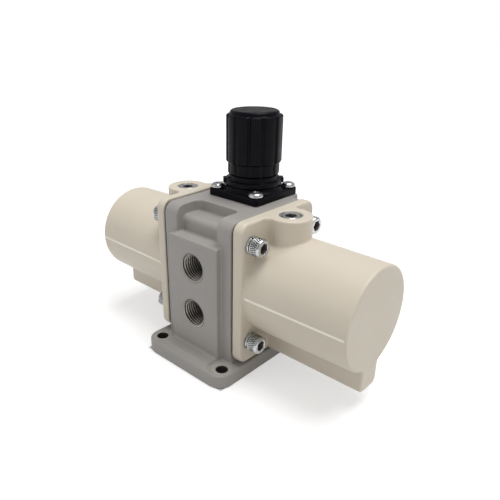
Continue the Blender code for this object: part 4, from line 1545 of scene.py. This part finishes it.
@dataclass
class CoverBolt:
    """A socket head bolt with a knurled head."""

    side: Side
    number: int
    shank: float = 2.75
    start: float = 16.0
    seat: float = 32.0
    head: float = 4.65
    head_long: float = 5.6
    socket: float = 2.4
    socket_deep: float = 3.1
    knurls: int = 26
    knurl_deep: float = 0.34
    knurl_rows: int = 6
    knurl_low: float = 0.65
    knurl_drop: float = 1.3
    turn_first: float = 12.0
    turn_step: float = 23.0

    @property
    def top(self) -> float:
        """Distance of the head's face from the booster's middle."""
        return self.seat + self.head_long

    @cached_property
    def centre(self) -> Flat:
        """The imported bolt's place as y and z."""
        spot = middle(f"bolt_{self.side.word}_{self.number}")
        return (spot.y, spot.z)

    def build(self) -> bpy.types.Object:
        """Builds the bolt as one skin from tip to socket floor.

        Returns:
            The bolt.
        """
        top, seat, head, floor = self.top, self.seat, self.head, self.top - self.socket_deep
        tip = [(0.0, self.start), (self.shank - 0.4, self.start), (self.shank, self.start + 0.6)]
        neck = [(self.shank, seat - 0.3), (self.shank + 0.3, seat), (head - 0.45, seat)]
        neck += [(head - 0.2, seat + 0.12), (head - 0.16, seat + 0.45)]
        crown = [(head - 0.08, top - 1.1), (head - 0.14, top - 0.8), (head - 0.3, top - 0.42)]
        crown += [(head - 0.55, top - 0.14), (head - 0.9, top)]
        rings = [self._ring(radius, along) for radius, along in soften(tip, 0.2) + neck]
        rings += self._knurl()
        rings += [self._ring(radius, along) for radius, along in crown]
        for grow, along in ((0.2, top), (0.08, top - 0.06), (0.0, top - 0.2), (0.0, floor)):
            rings.append(self._hexagon(self.socket + grow, along))
        rings.append(self._ring(0.0, top - self.socket_deep - 0.7))
        bolt = loft(f"cover_bolt_{self.side.word}_{self.number}", rings)
        self._mark_knurl(bolt)
        way = self.side.value
        mark_inside(bolt, Axis.X, self.centre, self.socket + 0.75, way * (top - 0.2), way)
        shade(bolt, angle=38.0, weighted=False)
        return bolt

    def _knurl(self) -> List[List[Point]]:
        """Lays the knurl as crossed rows of points between plain grooves.

        Returns:
            Its stations.
        """
        low, high = self.seat + self.knurl_low, self.top - self.knurl_drop
        rings = []
        for row in range(self.knurl_rows + 1):
            along = low + (high - low) * row / self.knurl_rows
            if row % 2:
                rings.append(self._ring(self.head, along, 1.0, row % 4 - 1))
            else:
                rings.append(self._ring(self.head - self.knurl_deep, along))
        return rings

    def _ring(self, radius: float, along: float, knurl: float = 0.0, shift: int = 0) -> List[Point]:
        """Lays one round station, with its share of the knurl.

        Args:
            radius: Radius of the station.
            along: Distance from the booster's middle.
            knurl: Share of the knurl's depth.
            shift: Points by which the knurl is turned on, so that its rows cross.

        Returns:
            The station's points.
        """
        dips = [share * knurl * self.knurl_deep for share in (0.0, 0.5, 1.0, 0.5)]
        return self._station([radius - dips[(i + shift) % 4] for i in range(self.knurls * 4)], along)

    def _hexagon(self, half: float, along: float) -> List[Point]:
        """Lays one hexagonal station of the socket.

        Args:
            half: Half the width across flats.
            along: Distance from the booster's middle.

        Returns:
            The station's points.
        """
        turn = self.turn_first + self.turn_step * self.number
        steps = self.knurls * 4
        parts = [(math.degrees(math.tau * i / steps) - turn) % 60 - 30 for i in range(steps)]
        return self._station([half / math.cos(math.radians(part)) for part in parts], along)

    def _station(self, reaches: Sequence[float], along: float) -> List[Point]:
        """Lays the points of one station round the bolt.

        Args:
            reaches: Distance of each point from the bolt's axis.
            along: Distance from the booster's middle.

        Returns:
            The points.
        """
        centre = self.centre
        x = self.side.value * along
        return [(x, *polar(centre, reach, math.tau * i / len(reaches))) for i, reach in enumerate(reaches)]

    def _mark_knurl(self, bolt: bpy.types.Object) -> None:
        """Marks the hollows of the knurl, which stay dull and take a dark painted shade.

        Args:
            bolt: The bolt.
        """
        y, z = self.centre
        for face in bolt.data.polygons:
            spot = face.center / MM
            within = self.seat + self.knurl_low < abs(spot.x) < self.top - self.knurl_drop
            if within and math.hypot(spot.y - y, spot.z - z) < self.head - self.knurl_deep * 0.7:
                face.material_index = Extra.KNURL.value


@dataclass
class SpringWasher:
    """A split washer with its two ends sprung apart."""

    side: Side
    number: int
    low: float = 30.25
    thick: float = 1.5
    inner: float = 3.15
    outer: float = 4.65
    gap: float = 9.0
    gap_first: float = 60.0
    gap_step: float = 47.0
    edge: float = 0.22
    spring: float = 0.12
    steps: int = 64

    def build(self) -> bpy.types.Object:
        """Builds the washer.

        Returns:
            The washer.
        """
        spot = middle(f"washer_{self.side.word}_{self.number}")
        centre, sign = (spot.y, spot.z), self.side.value
        start = self.gap_first + self.gap_step * self.number
        rings = []
        for i in range(self.steps + 1):
            share = i / self.steps
            angle = math.radians(start + self.gap / 2 + (360 - self.gap) * share)
            low = self.low + self.spring * share
            high = self.low + self.thick - self.spring * (1 - share)
            section = round_rect(self.inner, self.outer, low, high, self.edge, 3)
            rings.append([(sign * along, *polar(centre, radius, angle)) for radius, along in section])
        washer = loft(f"spring_washer_{self.side.word}_{self.number}", rings)
        shade(washer, angle=45.0, weighted=False)
        return washer


@dataclass
class GaugePlug:
    """The plug with a hexagon socket that closes a gauge port."""

    side: Side
    layout: Layout
    high: float
    top_drop: float = 0.45
    radius: float = 4.9
    edge: float = 0.45
    socket: float = 2.6
    socket_deep: float = 4.0
    socket_turn: float = 20.0
    lead: float = 0.3
    long: float = 7.5

    def build(self) -> bpy.types.Object:
        """Builds the plug.

        Returns:
            The plug.
        """
        top = self.high - self.top_drop
        centre = (self.side.value * self.layout.gauge_x, 0.0)
        bottom = top - self.long
        corners = [(0.0, bottom), (self.radius - 0.5, bottom), (self.radius, bottom + 0.6)]
        corners += [(self.radius, top - self.edge), (self.radius - self.edge, top), (0.0, top)]
        plug = turned(f"socket_plug_{self.side.word}", Axis.Z, centre, soften(corners, 0.2), 64)
        inner = hexagon(centre, self.socket, self.socket_turn)
        outer = hexagon(centre, self.socket, self.socket_turn, self.lead)
        rings = [[(x, y, top + rise) for x, y in ring] for ring, rise in ((inner, -0.15), (outer, 0.15))]
        room = prism("cutter", Axis.Z, inner, top - self.socket_deep, top + 0.1)
        work(plug, Cut.CUT, [room, loft("cutter", rings)])
        mark_inside(plug, Axis.Z, centre, self.socket + 0.9, top - 0.2, 1)
        shade(plug, angle=32.0)
        return plug


@dataclass
class Bonnet:
    """The governor's black housing: plate, notched ring and hollow stem."""

    layout: Layout
    half: float = 16.8
    corner: float = 1.5
    neck: float = 14.6
    ring: float = 15.0
    collar: float = 13.1
    collar_tall: float = 2.6
    lug: float = 16.0
    lug_root: float = 13.5
    lug_half: float = 2.4
    stem: float = 11.4
    cavity: float = 9.6
    roof: float = 3.0
    axle: float = 3.3
    screw_seat: float = 4.05
    key: float = 1.8
    grain: float = 0.26

    def build(self) -> bpy.types.Object:
        """Builds the bonnet.

        Returns:
            The finished mesh.
        """
        y = self.layout.knob_y
        low = self.layout.plate_z
        high = low + self.layout.plate_thick
        bounds = (-self.half, self.half, y - self.half, y + self.half)
        plate = slab("governor_bonnet", Axis.Z, bounds, self.corner, (low, high), (0.0, 0.6))
        work(plate, Cut.JOIN, [self._stem(high), *self._lugs()])
        work(plate, Cut.CUT, self._bores(high))
        cast(plate, self.grain, rounds=3, keep=0.32)
        shade(plate, angle=50.0)
        return plate

    def _stem(self, high: float) -> bpy.types.Object:
        """Makes the neck, the ring, the collar under the knob and the stem.

        Args:
            high: Top of the plate.

        Returns:
            The turned solid.
        """
        ring_low, ring_top = self.layout.ring
        profile = [
            (self.neck + 1.0, high - 2),
            (self.neck + 1.0, high + 0.2),
            (self.neck, high + 1.3),
            (self.neck, ring_low - 0.1),
            (self.ring, ring_low + 0.5),
            (self.ring, ring_top - 0.3),
            (self.ring - 0.3, ring_top),
            (self.collar, ring_top),
            (self.collar, ring_top + self.collar_tall - 0.3),
            (self.collar - 0.3, ring_top + self.collar_tall),
            (self.stem, ring_top + self.collar_tall),
            (self.stem, self.layout.stem_top - 0.6),
            (self.stem - 0.6, self.layout.stem_top),
        ]
        return turned("stem", Axis.Z, (0, self.layout.knob_y), profile, 96)

    def _lugs(self) -> List[bpy.types.Object]:
        """Makes the four lugs of the ring."""
        ring_low, ring_top = self.layout.ring
        wide, root = self.lug_half, self.lug_root
        lugs = []
        for i in range(4):
            along = Vector(polar((0, 0), 1.0, math.radians(45 + 90 * i)))
            across = Vector((-along.y, along.x))
            corners = []
            for reach, spread in ((root, -wide), (self.lug, -wide), (self.lug, wide), (root, wide)):
                corners.append((Vector((0, self.layout.knob_y)) + along * reach + across * spread)[:])
            lugs.append(prism("lug", Axis.Z, corners, ring_low + 0.6, ring_top + 0.3))
        return lugs

    def _bores(self, high: float) -> List[bpy.types.Object]:
        """Makes the cutters of the spring room, the nut's key slots and the screw holes.

        Args:
            high: Top of the plate.

        Returns:
            The cutters.
        """
        plan, y = self.layout, self.layout.knob_y
        low, roof = plan.plate_z - 2, plan.stem_top - self.roof
        cutters = [drill(Axis.Z, (0, y), self.cavity, low, roof, 64)]
        cutters.append(drill(Axis.Z, (0, y), self.axle, roof - 1, plan.stem_top + 2))
        for place in plan.screws():
            cutters.append(drill(Axis.Z, place, plan.screw_bore, low, high + 2))
            cutters.append(drill(Axis.Z, place, self.screw_seat, high, high + 2.2, 40))
        reach = self.cavity
        key = round_rect(-self.key, self.key, y - reach - 1.0, y + reach + 1.0, 0.5, 2)
        cutters.append(prism("cutter", Axis.Z, key, low, roof - 0.2))
        return cutters


@dataclass
class BonnetScrew:
    """A domed screw with a cross recess."""

    number: int
    layout: Layout
    shank: float = 1.9
    shank_long: float = 7.5
    seat_gap: float = 0.25
    head: float = 3.7
    rim: float = 0.45
    dome: float = 2.4
    dome_steps: int = 8
    dome_power: float = 0.72
    recess: float = 2.1
    recess_wide: float = 0.62
    recess_floor: Flat = (0.7, 0.3)
    recess_deep: float = 1.5
    turn_first: float = 8.0
    turn_step: float = 17.0

    def build(self) -> bpy.types.Object:
        """Builds the screw.

        Returns:
            The screw.
        """
        spot = middle(f"bonnet_screw_{self.number}")
        low = self.layout.top - self.shank_long
        seat = self.layout.plate_z + self.layout.plate_thick + self.seat_gap
        profile = [(0.0, low), (self.shank - 0.3, low), (self.shank, low + 0.5), (self.shank, seat)]
        profile += [(self.head - 0.25, seat), (self.head, seat + 0.3)]
        for i in range(1, self.dome_steps + 1):
            angle = math.radians(90 * i / self.dome_steps)
            height = seat + self.rim + (self.dome - self.rim) * math.sin(angle)
            profile.append((self.head * math.cos(angle) ** self.dome_power, height))
        screw = turned(f"pan_screw_{self.number}", Axis.Z, (spot.x, spot.y), profile, 48)
        turn = math.radians(self.turn_step * self.number + self.turn_first)
        arms = [self._arm(spot, turn + quarter, seat + self.dome) for quarter in (0.0, math.pi / 2)]
        work(screw, Cut.CUT, arms)
        shade(screw, angle=32.0)
        return screw

    def _arm(self, spot: Vector, angle: float, top: float) -> bpy.types.Object:
        """Makes the cutter of one arm of the cross.

        Args:
            spot: Middle of the screw.
            angle: Direction of the arm in radians.
            top: Top of the dome.

        Returns:
            The cutter.
        """
        across, along = math.cos(angle), math.sin(angle)
        floor = (*self.recess_floor, top - self.recess_deep)
        mouth = (self.recess, self.recess_wide, top + 0.4)
        rings = []
        for reach, wide, height in (floor, mouth):
            ring = []
            for a, b in ((-reach, -wide), (reach, -wide), (reach, wide), (-reach, wide)):
                ring.append((spot.x + a * across - b * along, spot.y + a * along + b * across, height))
            rings.append(ring)
        return loft("arm", rings)


@dataclass
class Knob:
    """The fluted knob, hollow from below, with a hexagon hub."""

    layout: Layout
    gap: float = 3.0
    tall: float = 31.9
    skirt_tall: float = 6.3
    cap_tall: float = 2.1
    cap_edge: float = 1.0
    skirt: float = 13.5
    grip: float = 14.5
    cap: float = 12.7
    flutes: int = 12
    flute_deep: float = 0.85
    flute_share: float = 0.36
    flute_steps: int = 18
    inner: float = 11.9
    hub: float = 7.6
    hub_gap: float = 2.9
    hub_drop: float = 8.0
    hub_sunk: float = 4.0
    core: float = 2.0
    hex: float = 5.35

    @property
    def bottom(self) -> float:
        """Height of the knob's lower edge."""
        return self.layout.ring[1] + self.gap

    def build(self) -> bpy.types.Object:
        """Builds the knob.

        Returns:
            The finished mesh.
        """
        outer = self._skin()
        axle, low = (0, self.layout.knob_y), self.bottom
        hub_low = self.layout.stem_top + self.hub_gap
        hub_top = low + self.tall - self.hub_drop
        ceiling = hub_top + self.hub_sunk
        room = [(self.inner, low - 1), (self.inner, ceiling), (self.hub, ceiling)]
        room += [(self.hub, hub_low), (1.0, hub_low), (1.0, low - 1)]
        hollow = turned("cutter", Axis.Z, axle, room, 64, True)
        core = drill(Axis.Z, axle, self.core, low - 2, hub_low + 1)
        socket = prism("cutter", Axis.Z, hexagon(axle, self.hex, 0), hub_low - 1, hub_top + 0.3)
        work(outer, Cut.CUT, [hollow, core, socket])
        shade(outer, angle=40.0)
        return outer

    def _skin(self) -> bpy.types.Object:
        """Makes the outside, from the skirt up over the grip to the top."""
        low = self.bottom
        top = low + self.tall
        grip_low, grip_top = low + self.skirt_tall, top - self.cap_tall
        corners = [
            (self.skirt - 0.3, 0.4, low),
            (self.skirt, 0.6, low + 0.35),
            (self.skirt, 0.6, grip_low - 0.75),
            (self.skirt + 0.15, 0.7, grip_low - 0.5),
            (self.grip - 0.2, 0.9, grip_low - 0.05),
            (self.grip, 1.0, grip_low + 0.35),
            (self.grip, 1.0, grip_top - 0.75),
            (self.grip - 0.1, 1.0, grip_top - 0.5),
            (self.grip - 0.4, 0.9, grip_top - 0.2),
            (self.cap + 0.6, 0.3, grip_top + 0.1),
            (self.cap + 0.2, 0.0, grip_top + 0.2),
            (self.cap + 0.05, 0.0, grip_top + 0.4),
            (self.cap, 0.0, top - self.cap_edge - 0.1),
            (self.cap - 0.1, 0.0, top - self.cap_edge + 0.15),
            (self.cap - 0.35, 0.0, top - self.cap_edge + 0.5),
            (self.cap - self.cap_edge + 0.15, 0.0, top - 0.15),
            (self.cap - self.cap_edge - 0.3, 0.0, top),
            (self.cap * 0.5, 0.0, top),
        ]
        return loft("governor_knob", [self._ring(*corner) for corner in corners])

    def _ring(self, radius: float, flute: float, height: float) -> List[Point]:
        """Lays one station of the knob.

        Args:
            radius: Radius between the flutes.
            flute: Share of the flutes' depth.
            height: Height of the station.

        Returns:
            The station's points.
        """
        points = []
        steps = self.flutes * self.flute_steps
        for i in range(steps):
            phase = (i / self.flute_steps + 0.5) % 1.0 - 0.5
            edge = abs(phase) / (self.flute_share / 2)
            dip = 0.5 + 0.5 * math.cos(math.pi * edge) if edge < 1 else 0.0
            reach = radius - self.flute_deep * flute * min(dip * 1.5, 1.0)
            points.append((*polar((0.0, self.layout.knob_y), reach, math.tau * i / steps), height))
        return points


@dataclass
class Silencer:
    """The sintered button in the exhaust port."""

    layout: Layout
    radius: float = 4.35
    sunk: float = 1.4
    dome: float = 0.9
    dome_steps: int = 6
    dome_power: float = 0.6
    long: float = 5.0

    def build(self) -> bpy.types.Object:
        """Builds the button, slightly domed.

        Returns:
            The button.
        """
        outer = self.layout.panel_y - self.sunk
        inner, rim = outer - self.long, outer - self.dome
        profile = [(0.0, inner), (self.radius, inner), (self.radius, rim)]
        for i in range(1, self.dome_steps + 1):
            angle = math.radians(90 * i / self.dome_steps)
            reach = self.radius * math.cos(angle) ** self.dome_power
            profile.append((reach, rim + self.dome * math.sin(angle)))
        button = turned("exhaust_button", Axis.Y, (0, self.layout.valve[1]), profile, 48)
        shade(button, angle=40.0)
        return button


@dataclass
class CoilSpring:
    """A coil spring that stands on the housing, under the piece above it."""

    node: str
    above: str
    wire: float
    turns: float
    sides: int = 10
    steps: int = 28
    dead: float = 0.1

    def build(self, name: str) -> bpy.types.Object:
        """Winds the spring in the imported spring's room, with a flat end each side.

        Args:
            name: Name of the piece.

        Returns:
            The spring.
        """
        low, high = (Vector(corner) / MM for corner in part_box(self.node))
        centre = (low + high) / 2
        mean = (high.x - low.x) / 2 - self.wire
        count = round(self.turns * self.steps)
        rings = []
        for i in range(count + 1):
            turn = math.tau * self.turns * i / count
            share = min(max((i / count - self.dead) / (1 - 2 * self.dead), 0.0), 1.0)
            rise = low.z + self.wire + (high.z - low.z - 2 * self.wire) * share
            section = [polar((mean, rise), self.wire, math.tau * j / self.sides) for j in range(self.sides)]
            rings.append([(*polar((centre.x, centre.y), reach, turn), height) for reach, height in section])
        spring = loft(name, rings)
        shade(spring, angle=60.0, weighted=False)
        return spring

    def fit(self, shop: PaintShop, name: str) -> None:
        """Dresses the spring and puts it in place of the imported spring, which is hidden.

        Args:
            shop: The paint shop.
            name: Name of the piece.
        """
        spring = self.build(name)
        spring.data.materials.append(shop.get(Slot.SPRING))
        low, high = (Vector(corner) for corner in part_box(self.node))
        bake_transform(spring)
        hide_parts(self.node)
        LOG.info("%s: %d faces, gives with %s", name, len(spring.data.polygons), self.above)


def both(part: str) -> List[str]:
    """Returns the names of a part's left and right nodes."""
    return [f"{part}_{side.word}" for side in Side]


@dataclass
class InnerWorks:
    """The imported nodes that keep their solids, with the finish of each."""

    finishes: Dict[Slot, List[str]] = field(
        default_factory=lambda: {
            Slot.RUBBER: [
                *both("gasket"),
                *both("piston_seal"),
                *both("rod_seal"),
                *both("check_valve_in"),
                *both("check_valve_out"),
            ],
            Slot.ZINC: both("piston_nut"),
            Slot.STEEL: ["piston_rod", "valve_spool", *both("switch_pin"), "adjusting_screw"],
            Slot.ALUMINIUM: [*both("piston"), "governor_piston"],
            Slot.BRASS: [
                "valve_sleeve",
                *both("check_ring_in"),
                *both("check_ring_out"),
                "spring_nut",
                "governor_seat",
                "governor_valve",
            ],
        }
    )

    def dress(self, shop: PaintShop) -> None:
        """Puts the finishes on.

        Args:
            shop: The paint shop.
        """
        for slot, nodes in self.finishes.items():
            for node in nodes:
                shop.redress(node, slot)


@dataclass
class Studio:
    """Camera, floor and lights."""

    eye: Point = (173.88, -189.43, 166.18)
    azimuth: float = 43.1
    elevation: float = 24.63
    roll: float = 0.19
    foot: Flat = (29.6, 41.8)
    lens: float = 37.01
    shift: Flat = (0.0398, 0.0261)
    sensor: float = 36.0
    clip: Flat = (0.01, 20.0)
    aim: Point = (0.0, 0.0, 0.05)
    floor_half: float = 6000.0
    floor_corner: float = 500.0
    floor_span: Flat = (-3.0, -0.05)
    floor_colour: Colour = (0.62, 0.62, 0.62)
    floor_lift: float = 0.52
    foot_margin: float = 1.0
    sky: float = 0.42

    def build(self) -> None:
        """Sets up the whole studio."""
        self._camera()
        self._floor()
        self._sky()
        self._sun(place=(0.15, 0.14, 0.98), spread=35.0, strength=2.02)
        self._lamp("front", place=(-0.45, -0.75, 0.55), size=(0.7, 0.5), power=0.75)
        self._lamp("side", place=(0.95, -0.2, 0.45), size=(0.5, 0.6), power=0.17)

    def _camera(self) -> None:
        """Places the camera at the photograph's angle."""
        turn, rise, lean = (math.radians(a) for a in (self.azimuth, self.elevation, self.roll))
        back = Vector((math.sin(turn) * math.cos(rise), -math.cos(turn) * math.cos(rise), math.sin(rise)))
        right = Vector((math.cos(turn), math.sin(turn), 0.0))
        up = back.cross(right)
        right, up = right * math.cos(lean) + up * math.sin(lean), up * math.cos(lean) - right * math.sin(lean)
        data = bpy.data.cameras.new("camera")
        data.lens = self.lens
        data.sensor_width = self.sensor
        data.shift_x, data.shift_y = self.shift
        data.clip_start, data.clip_end = self.clip
        camera = bpy.data.objects.new("camera", data)
        matrix = Matrix((right, up, back)).transposed().to_4x4()
        matrix.translation = Vector(self.eye) * MM
        camera.matrix_world = matrix
        bpy.context.scene.collection.objects.link(camera)
        bpy.context.scene.camera = camera

    def _floor(self) -> None:
        """Lays the pale floor, which shows near white and keeps the shadow."""
        half = self.floor_half
        outline = round_rect(-half, half, -half, half, self.floor_corner, 4)
        floor = prism("floor", Axis.Z, outline, *self.floor_span)
        material = bpy.data.materials.new("pale_floor")
        material.use_nodes = True
        tree = material.node_tree
        tree.nodes.clear()
        paths = add_node(tree, "ShaderNodeLightPath", {}).outputs
        seen = work_out(tree, "MAXIMUM", paths["Is Camera Ray"], paths["Is Glossy Ray"])
        open_floor = work_out(tree, "MULTIPLY", seen, self._beside_foot(tree))
        lift = work_out(tree, "MULTIPLY", open_floor, self.floor_lift)
        matt = add_node(tree, "ShaderNodeBsdfDiffuse", {"Color": (*self.floor_colour, 1.0)}).outputs[0]
        glow = add_node(tree, "ShaderNodeEmission", {"Strength": lift}).outputs[0]
        surface = add_node(tree, "ShaderNodeAddShader", {"0": matt, "1": glow}).outputs[0]
        add_node(tree, "ShaderNodeOutputMaterial", {"Surface": surface})
        floor.data.materials.append(material)

    def _beside_foot(self, tree: bpy.types.NodeTree) -> bpy.types.NodeSocket:
        """Finds the floor that the foot doesn't cover, so that the foot's holes stay dark.

        Args:
            tree: Nodes of the floor's material.

        Returns:
            One beside the foot, nought under it.
        """
        place = add_node(tree, "ShaderNodeTexCoord", {}).outputs["Object"]
        parts = add_node(tree, "ShaderNodeSeparateXYZ", {"0": place}).outputs
        past = []
        for index, half in enumerate(self.foot):
            away = work_out(tree, "ABSOLUTE", parts[index])
            past.append(work_out(tree, "GREATER_THAN", away, (half - self.foot_margin) * MM))
        return work_out(tree, "MAXIMUM", *past)

    def _sky(self) -> None:
        """Fills the room with soft white light, white where the camera sees it."""
        world = bpy.data.worlds.new("room")
        bpy.context.scene.world = world
        world.use_nodes = True
        tree = world.node_tree
        back = tree.nodes["Background"]
        paths = add_node(tree, "ShaderNodeLightPath", {}).outputs
        seen = work_out(tree, "MAXIMUM", paths["Is Camera Ray"], paths["Is Transmission Ray"])
        strength = add_node(tree, "ShaderNodeMapRange", {"Value": seen, "To Min": self.sky, "To Max": 1.0})
        back.inputs["Color"].default_value = (1.0, 1.0, 1.0, 1.0)
        tree.links.new(strength.outputs["Result"], back.inputs["Strength"])

    def _sun(self, place: Point, spread: float, strength: float) -> None:
        """Adds the broad key light from above and behind.

        Args:
            place: Direction that it comes from.
            spread: Its width in degrees, which softens the shadow.
            strength: Its strength.
        """
        data = bpy.data.lights.new("key", "SUN")
        data.angle = math.radians(spread)
        data.energy = strength
        self._hang(data, place, -Vector(place))

    def _lamp(self, name: str, place: Point, size: Flat, power: float) -> None:
        """Hangs one soft lamp, aimed at the booster.

        Args:
            name: Name of the lamp.
            place: Where it hangs, in metres.
            size: Its width and height in metres.
            power: Its power in watts.
        """
        data = bpy.data.lights.new(name, "AREA")
        data.shape = "RECTANGLE"
        data.size, data.size_y = size
        data.energy = power
        self._hang(data, place, Vector(self.aim) - Vector(place))

    def _hang(self, data: bpy.types.Light, place: Point, aim: Vector) -> None:
        """Puts a light in its place.

        Args:
            data: The light.
            place: Where it hangs.
            aim: Direction that it shines in.
        """
        lamp = bpy.data.objects.new(data.name, data)
        lamp.location = place
        lamp.rotation_euler = aim.to_track_quat("-Z", "Y").to_euler()
        bpy.context.scene.collection.objects.link(lamp)


def dress_outside(shop: PaintShop, plan: Layout) -> None:
    """Builds every piece that shows and dresses it.

    Args:
        shop: The paint shop.
        plan: The shared sizes.
    """
    body = CenterCasting(plan)
    shop.dress(body.build(), Slot.GREY, ["center_body"])
    for name, height in zip(("inlet_thread", "outlet_thread"), plan.ports):
        shop.dress(body.build_thread(name, height), Slot.ALUMINIUM, finish=Extra.PORT_WALL)
    for side in Side:
        cover = CylinderCover(plan, side)
        shop.dress(cover.build(), Slot.CREAM, [f"cover_{side.word}"])
        # The parting lines take a lighter cream: partly worn paint, partly a painted highlight.
        shop.dress(cover.build_lines(), Slot.CREAM, finish=Extra.WORN_HIGHLIT_LINE)
        shop.dress(cover.build_thread(), Slot.ALUMINIUM)
        shop.dress(GaugePlug(side, plan, cover.high).build(), Slot.STEEL, [f"gauge_plug_{side.word}"])
        for number in range(1, 5):
            shop.dress(CoverBolt(side, number).build(), Slot.ZINC, [f"bolt_{side.word}_{number}"])
            shop.dress(SpringWasher(side, number).build(), Slot.ZINC, [f"washer_{side.word}_{number}"])
    shop.dress(Bonnet(plan).build(), Slot.PLASTIC, ["bonnet"])
    for number in range(1, 5):
        shop.dress(BonnetScrew(number, plan).build(), Slot.ZINC, [f"bonnet_screw_{number}"])
    shop.dress(Knob(plan).build(), Slot.PLASTIC, ["knob"], body="knob")
    shop.dress(Silencer(plan).build(), Slot.BRONZE, ["exhaust_silencer"])


def main() -> None:
    """Builds and dresses the booster, then sets up the studio."""
    logging.basicConfig(level=logging.INFO, format="%(message)s")
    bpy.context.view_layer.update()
    plan = Layout()
    shop = PaintShop(plan)
    dress_outside(shop, plan)
    InnerWorks().dress(shop)
    CoilSpring("regulating_spring", "spring_nut", wire=0.95, turns=4.0).fit(shop, "regulating_coil")
    valve_spring = CoilSpring("governor_valve_spring", "governor_valve", wire=0.5, turns=3.5)
    valve_spring.fit(shop, "governor_valve_coil")
    Studio().build()
    bpy.context.scene.view_settings.view_transform = "Standard"


if __name__ == "__main__":
    main()
